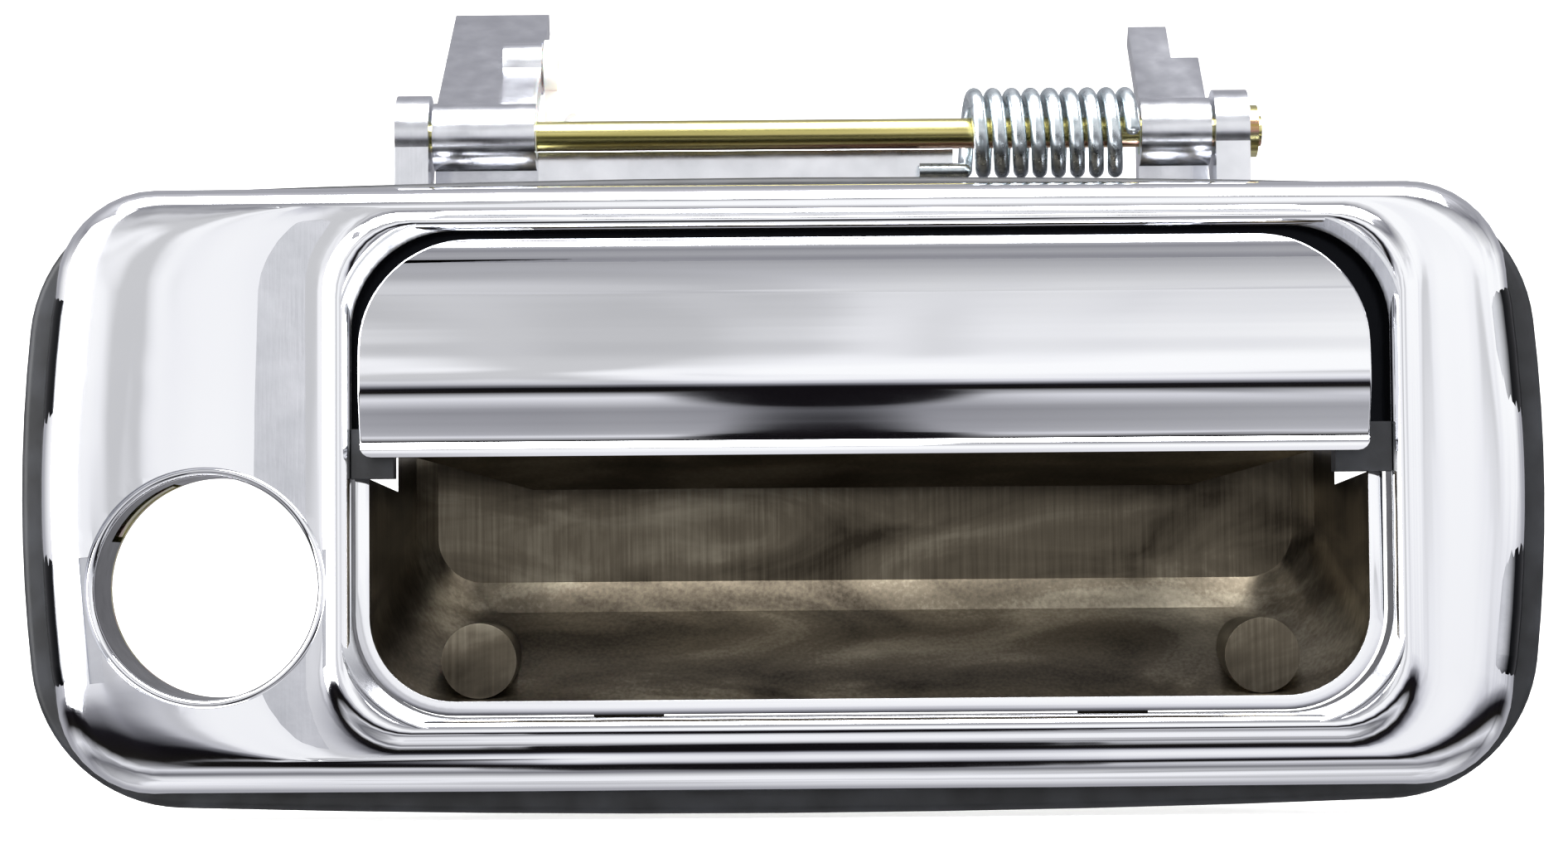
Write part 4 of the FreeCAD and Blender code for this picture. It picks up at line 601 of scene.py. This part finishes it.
def make_paddle():
    """The paddle: a plate with round top corners, bellied to a crease and rolled in under it to a lip. Its
    edges roll back to the gap round it."""
    left, right, bottom, top = PADDLE
    centre = at((left + right) / 2.0, PADDLE_BACK - PADDLE_THICK / 2.0, (bottom + top) / 2.0)
    paddle = begin("paddle_shell", bpy.ops.mesh.primitive_cube_add, size=1.0, location=centre,
                   scale=((right - left) * MM, PADDLE_THICK * MM, (top - bottom) * MM))
    bpy.ops.object.mode_set(mode="EDIT")
    choose(paddle, "EDGE", lambda e: abs(e.verts[0].co.y - e.verts[1].co.y) > MM
           and e.verts[0].co.z > centre.z)
    bpy.ops.mesh.bevel(offset=PADDLE_TOP_CORNER * MM, segments=18, affect="EDGES")
    choose(paddle, "EDGE", lambda e: abs(e.verts[0].co.y - e.verts[1].co.y) > MM
           and e.verts[0].co.z < at(0.0, 0.0, bottom).z + 0.01 * MM)
    bpy.ops.mesh.bevel(offset=PADDLE_FOOT_CORNER * MM, segments=4, affect="EDGES")
    rows = int((top - bottom) / PADDLE_ROW_SPACE)
    for number in range(1, rows):
        bpy.ops.mesh.select_all(action="SELECT")
        bpy.ops.mesh.bisect(plane_co=at(0.0, 0.0, bottom + (top - bottom) * number / rows),
                            plane_no=(0.0, 0.0, 1.0))
    front = at(0.0, PADDLE_BACK - PADDLE_THICK, 0.0).y
    mesh = bmesh.from_edit_mesh(paddle.data)
    levels = sorted({round(v.co.z, 7) for v in mesh.verts if v.co.y < front + 1e-6})
    for level in levels:
        out = stand_out((level - MIDDLE.z) / MM)
        choose(paddle, "VERT", lambda v: abs(v.co.z - level) < 2e-7 and abs(v.co.y - front) < 1e-6)
        bpy.ops.transform.translate(value=(0.0, -(out - PADDLE_THICK) * MM, 0.0))
    outward(paddle)
    back = at(0.0, PADDLE_BACK, 0.0).y
    choose(paddle, "EDGE", lambda e: len(e.link_faces) == 2 and is_rim(e, back))
    bpy.ops.mesh.bevel(offset=PADDLE_RIM * MM, segments=5, affect="EDGES", clamp_overlap=True)
    outward(paddle)
    end_edit()
    smooth(paddle, 40.0)
    dress(paddle, PADDLE_CHROME, "paddle")
    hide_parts("pull_paddle")


def is_rim(edge, back):
    """True for an edge between the paddle's front and its ends or top."""
    facing = [face.normal.y < -0.4 for face in edge.link_faces]
    side = [abs(face.normal.y) < 0.05 and face.calc_center_median().y < back for face in edge.link_faces]
    return any(facing) and any(side) and all(v.co.z > at(0, 0, PADDLE_RIM_BOTTOM).z for v in edge.verts)


make_face()
make_lock_rim()
make_paddle()
make_cup()
rounded_copy("gasket", "gasket_moulding", 0.2, 25.0, RUBBER, "housing")
rounded_copy("hinge_carrier", "bracket_casting", 0.3, 25.0, SATIN, "paddle")

# ---------------------------------------------------------------------------------------- studio

# A paper sweep: flat under the handle and curved up behind it, so that it has no horizon.
SWEEP_SIZE = 6.0
SWEEP_HEIGHT = 3.0
SWEEP_BACK = 900.0
SWEEP_ROUND = 500.0
SWEEP_GAP = 0.0005
floor = begin("studio_floor", bpy.ops.mesh.primitive_plane_add, size=SWEEP_SIZE,
              location=Vector((0.0, SWEEP_BACK * MM - SWEEP_SIZE / 2.0,
                               CAD_BOX[0].z - SWEEP_GAP)))
bpy.ops.object.mode_set(mode="EDIT")
choose(floor, "EDGE", lambda e: all(v.co.y > 0.0 for v in e.verts))
bpy.ops.mesh.extrude_edges_move(TRANSFORM_OT_translate={"value": (0.0, 0.0, SWEEP_HEIGHT)})
choose(floor, "EDGE", lambda e: all(v.co.y > 0.0 and v.co.z < 0.1 for v in e.verts))
bpy.ops.mesh.bevel(offset=SWEEP_ROUND * MM, segments=24, affect="EDGES")
outward(floor)
end_edit()
smooth(floor, 60.0)
floor_material, _, floor_surface = new_material("matt_white_paper", Roughness=0.9)
floor_surface.inputs["Base Color"].default_value = linear("#F7F7F5")
floor_surface.inputs["Emission Color"].default_value = linear("#FFFFFF")
floor_surface.inputs["Emission Strength"].default_value = 0.45
floor.data.materials.append(floor_material)
# reflections see the tent round the handle in its place
floor.visible_glossy = False

world = bpy.data.worlds.new("studio")
bpy.context.scene.world = world
world.use_nodes = True
sky = world.node_tree
sky.nodes.clear()
direction = add(sky, "ShaderNodeTexCoord").outputs["Generated"]
parts = add(sky, "ShaderNodeSeparateXYZ", {"Vector": direction})
# The tent round the handle, from the ground up: white table, its dark near edge, grey room, white cloth.
height = add(sky, "ShaderNodeMapRange", {"Value": parts.outputs["Z"], "From Min": -1.0, "From Max": 1.0})
height_ramp = ramp(sky, height.outputs["Result"], [
    (0.06, "#F6F6F8"), (0.18, "#77777C"), (0.25, "#E6E6EA"), (0.32, "#1A1816"), (0.38, "#17151A"),
    (0.415, "#8E8E94"), (0.44, "#D9D9DE"), (0.48, "#F4F4F6"), (0.56, "#FFFFFF"), (0.66, "#FFFFFF"),
    (0.80, "#8A8A90"), (0.92, "#F2F2F6")])
sky_patches = add(sky, "ShaderNodeTexNoise", {
    "Vector": direction, "Scale": 2.3, "Detail": 2.0, "Distortion": 0.8})
patches = ramp(sky, sky_patches.outputs["Fac"], [(0.34, "#7E7E84"), (0.46, "#ECECF0"), (0.56, "#FFFFFF")])
cloth = add(sky, "ShaderNodeMix", {"Factor": 0.5, "A": height_ramp, "B": patches},
            data_type="RGBA", blend_type="MULTIPLY")
# A dark, rounded gap low in the front of the tent shows as the dark band under the paddle's crease.
gap = add(sky, "ShaderNodeMapping", {
    "Vector": direction, "Location": (0.0, 0.0, 2.7), "Scale": (11.0, 0.0, 5.9)})
gap_edge = add(sky, "ShaderNodeVectorMath", {0: gap.outputs["Vector"]}, operation="LENGTH")
outside_gap = add(sky, "ShaderNodeMapRange", {
    "Value": gap_edge.outputs["Value"], "From Min": 0.85, "From Max": 1.1})
cloth = add(sky, "ShaderNodeMix", {"Factor": outside_gap.outputs["Result"], "A": linear("#121013"),
                                   "B": cloth.outputs["Result"]}, data_type="RGBA")
behind = add(sky, "ShaderNodeMapRange", {"Value": parts.outputs["Y"], "From Min": -0.1, "From Max": 0.5})
reflected = add(sky, "ShaderNodeMix", {
    "Factor": behind.outputs["Result"], "A": cloth.outputs["Result"], "B": linear("#A4A4AA")},
    data_type="RGBA")
ray = add(sky, "ShaderNodeLightPath")
seen = add(sky, "ShaderNodeMix", {
    "Factor": ray.outputs["Is Camera Ray"], "A": reflected.outputs["Result"], "B": linear("#FBFBFB")},
    data_type="RGBA")
add(sky, "ShaderNodeOutputWorld", {"Surface": add(
    sky, "ShaderNodeBackground", {"Color": seen.outputs["Result"], "Strength": 1.08}).outputs["Background"]})


def softbox(name, place, target, width, height, power):
    """A rectangular area light that faces a target and isn't seen itself."""
    data = bpy.data.lights.new(name, "AREA")
    data.shape = "RECTANGLE"
    data.size, data.size_y, data.energy = width, height, power
    light = bpy.data.objects.new(name, data)
    bpy.context.scene.collection.objects.link(light)
    light.location = place
    light.rotation_euler = (target - place).to_track_quat("-Z", "Y").to_euler()
    light.visible_camera = False
    return light


softbox("top_softbox", at(0, -150, 420), at(0, 0, 0), 0.7, 0.35, 9.0)
softbox("left_softbox", at(-420, -260, 120), at(0, 0, 0), 0.35, 0.5, 4.0)

EYE = (0.0, -459.0, -12.4)
CAMERA_LENS = 81.6
CAMERA_RISE = 2.6
CAMERA_ROLL = 0.45
bpy.context.scene.view_settings.view_transform = "Standard"
camera_data = bpy.data.cameras.new("camera")
camera_data.sensor_width = 36.0
camera_data.lens = CAMERA_LENS
camera = bpy.data.objects.new("camera", camera_data)
bpy.context.scene.collection.objects.link(camera)
camera.location = at(*EYE)
camera.rotation_euler = (math.radians(90.0 + CAMERA_RISE), math.radians(CAMERA_ROLL), 0.0)
bpy.context.scene.camera = camera
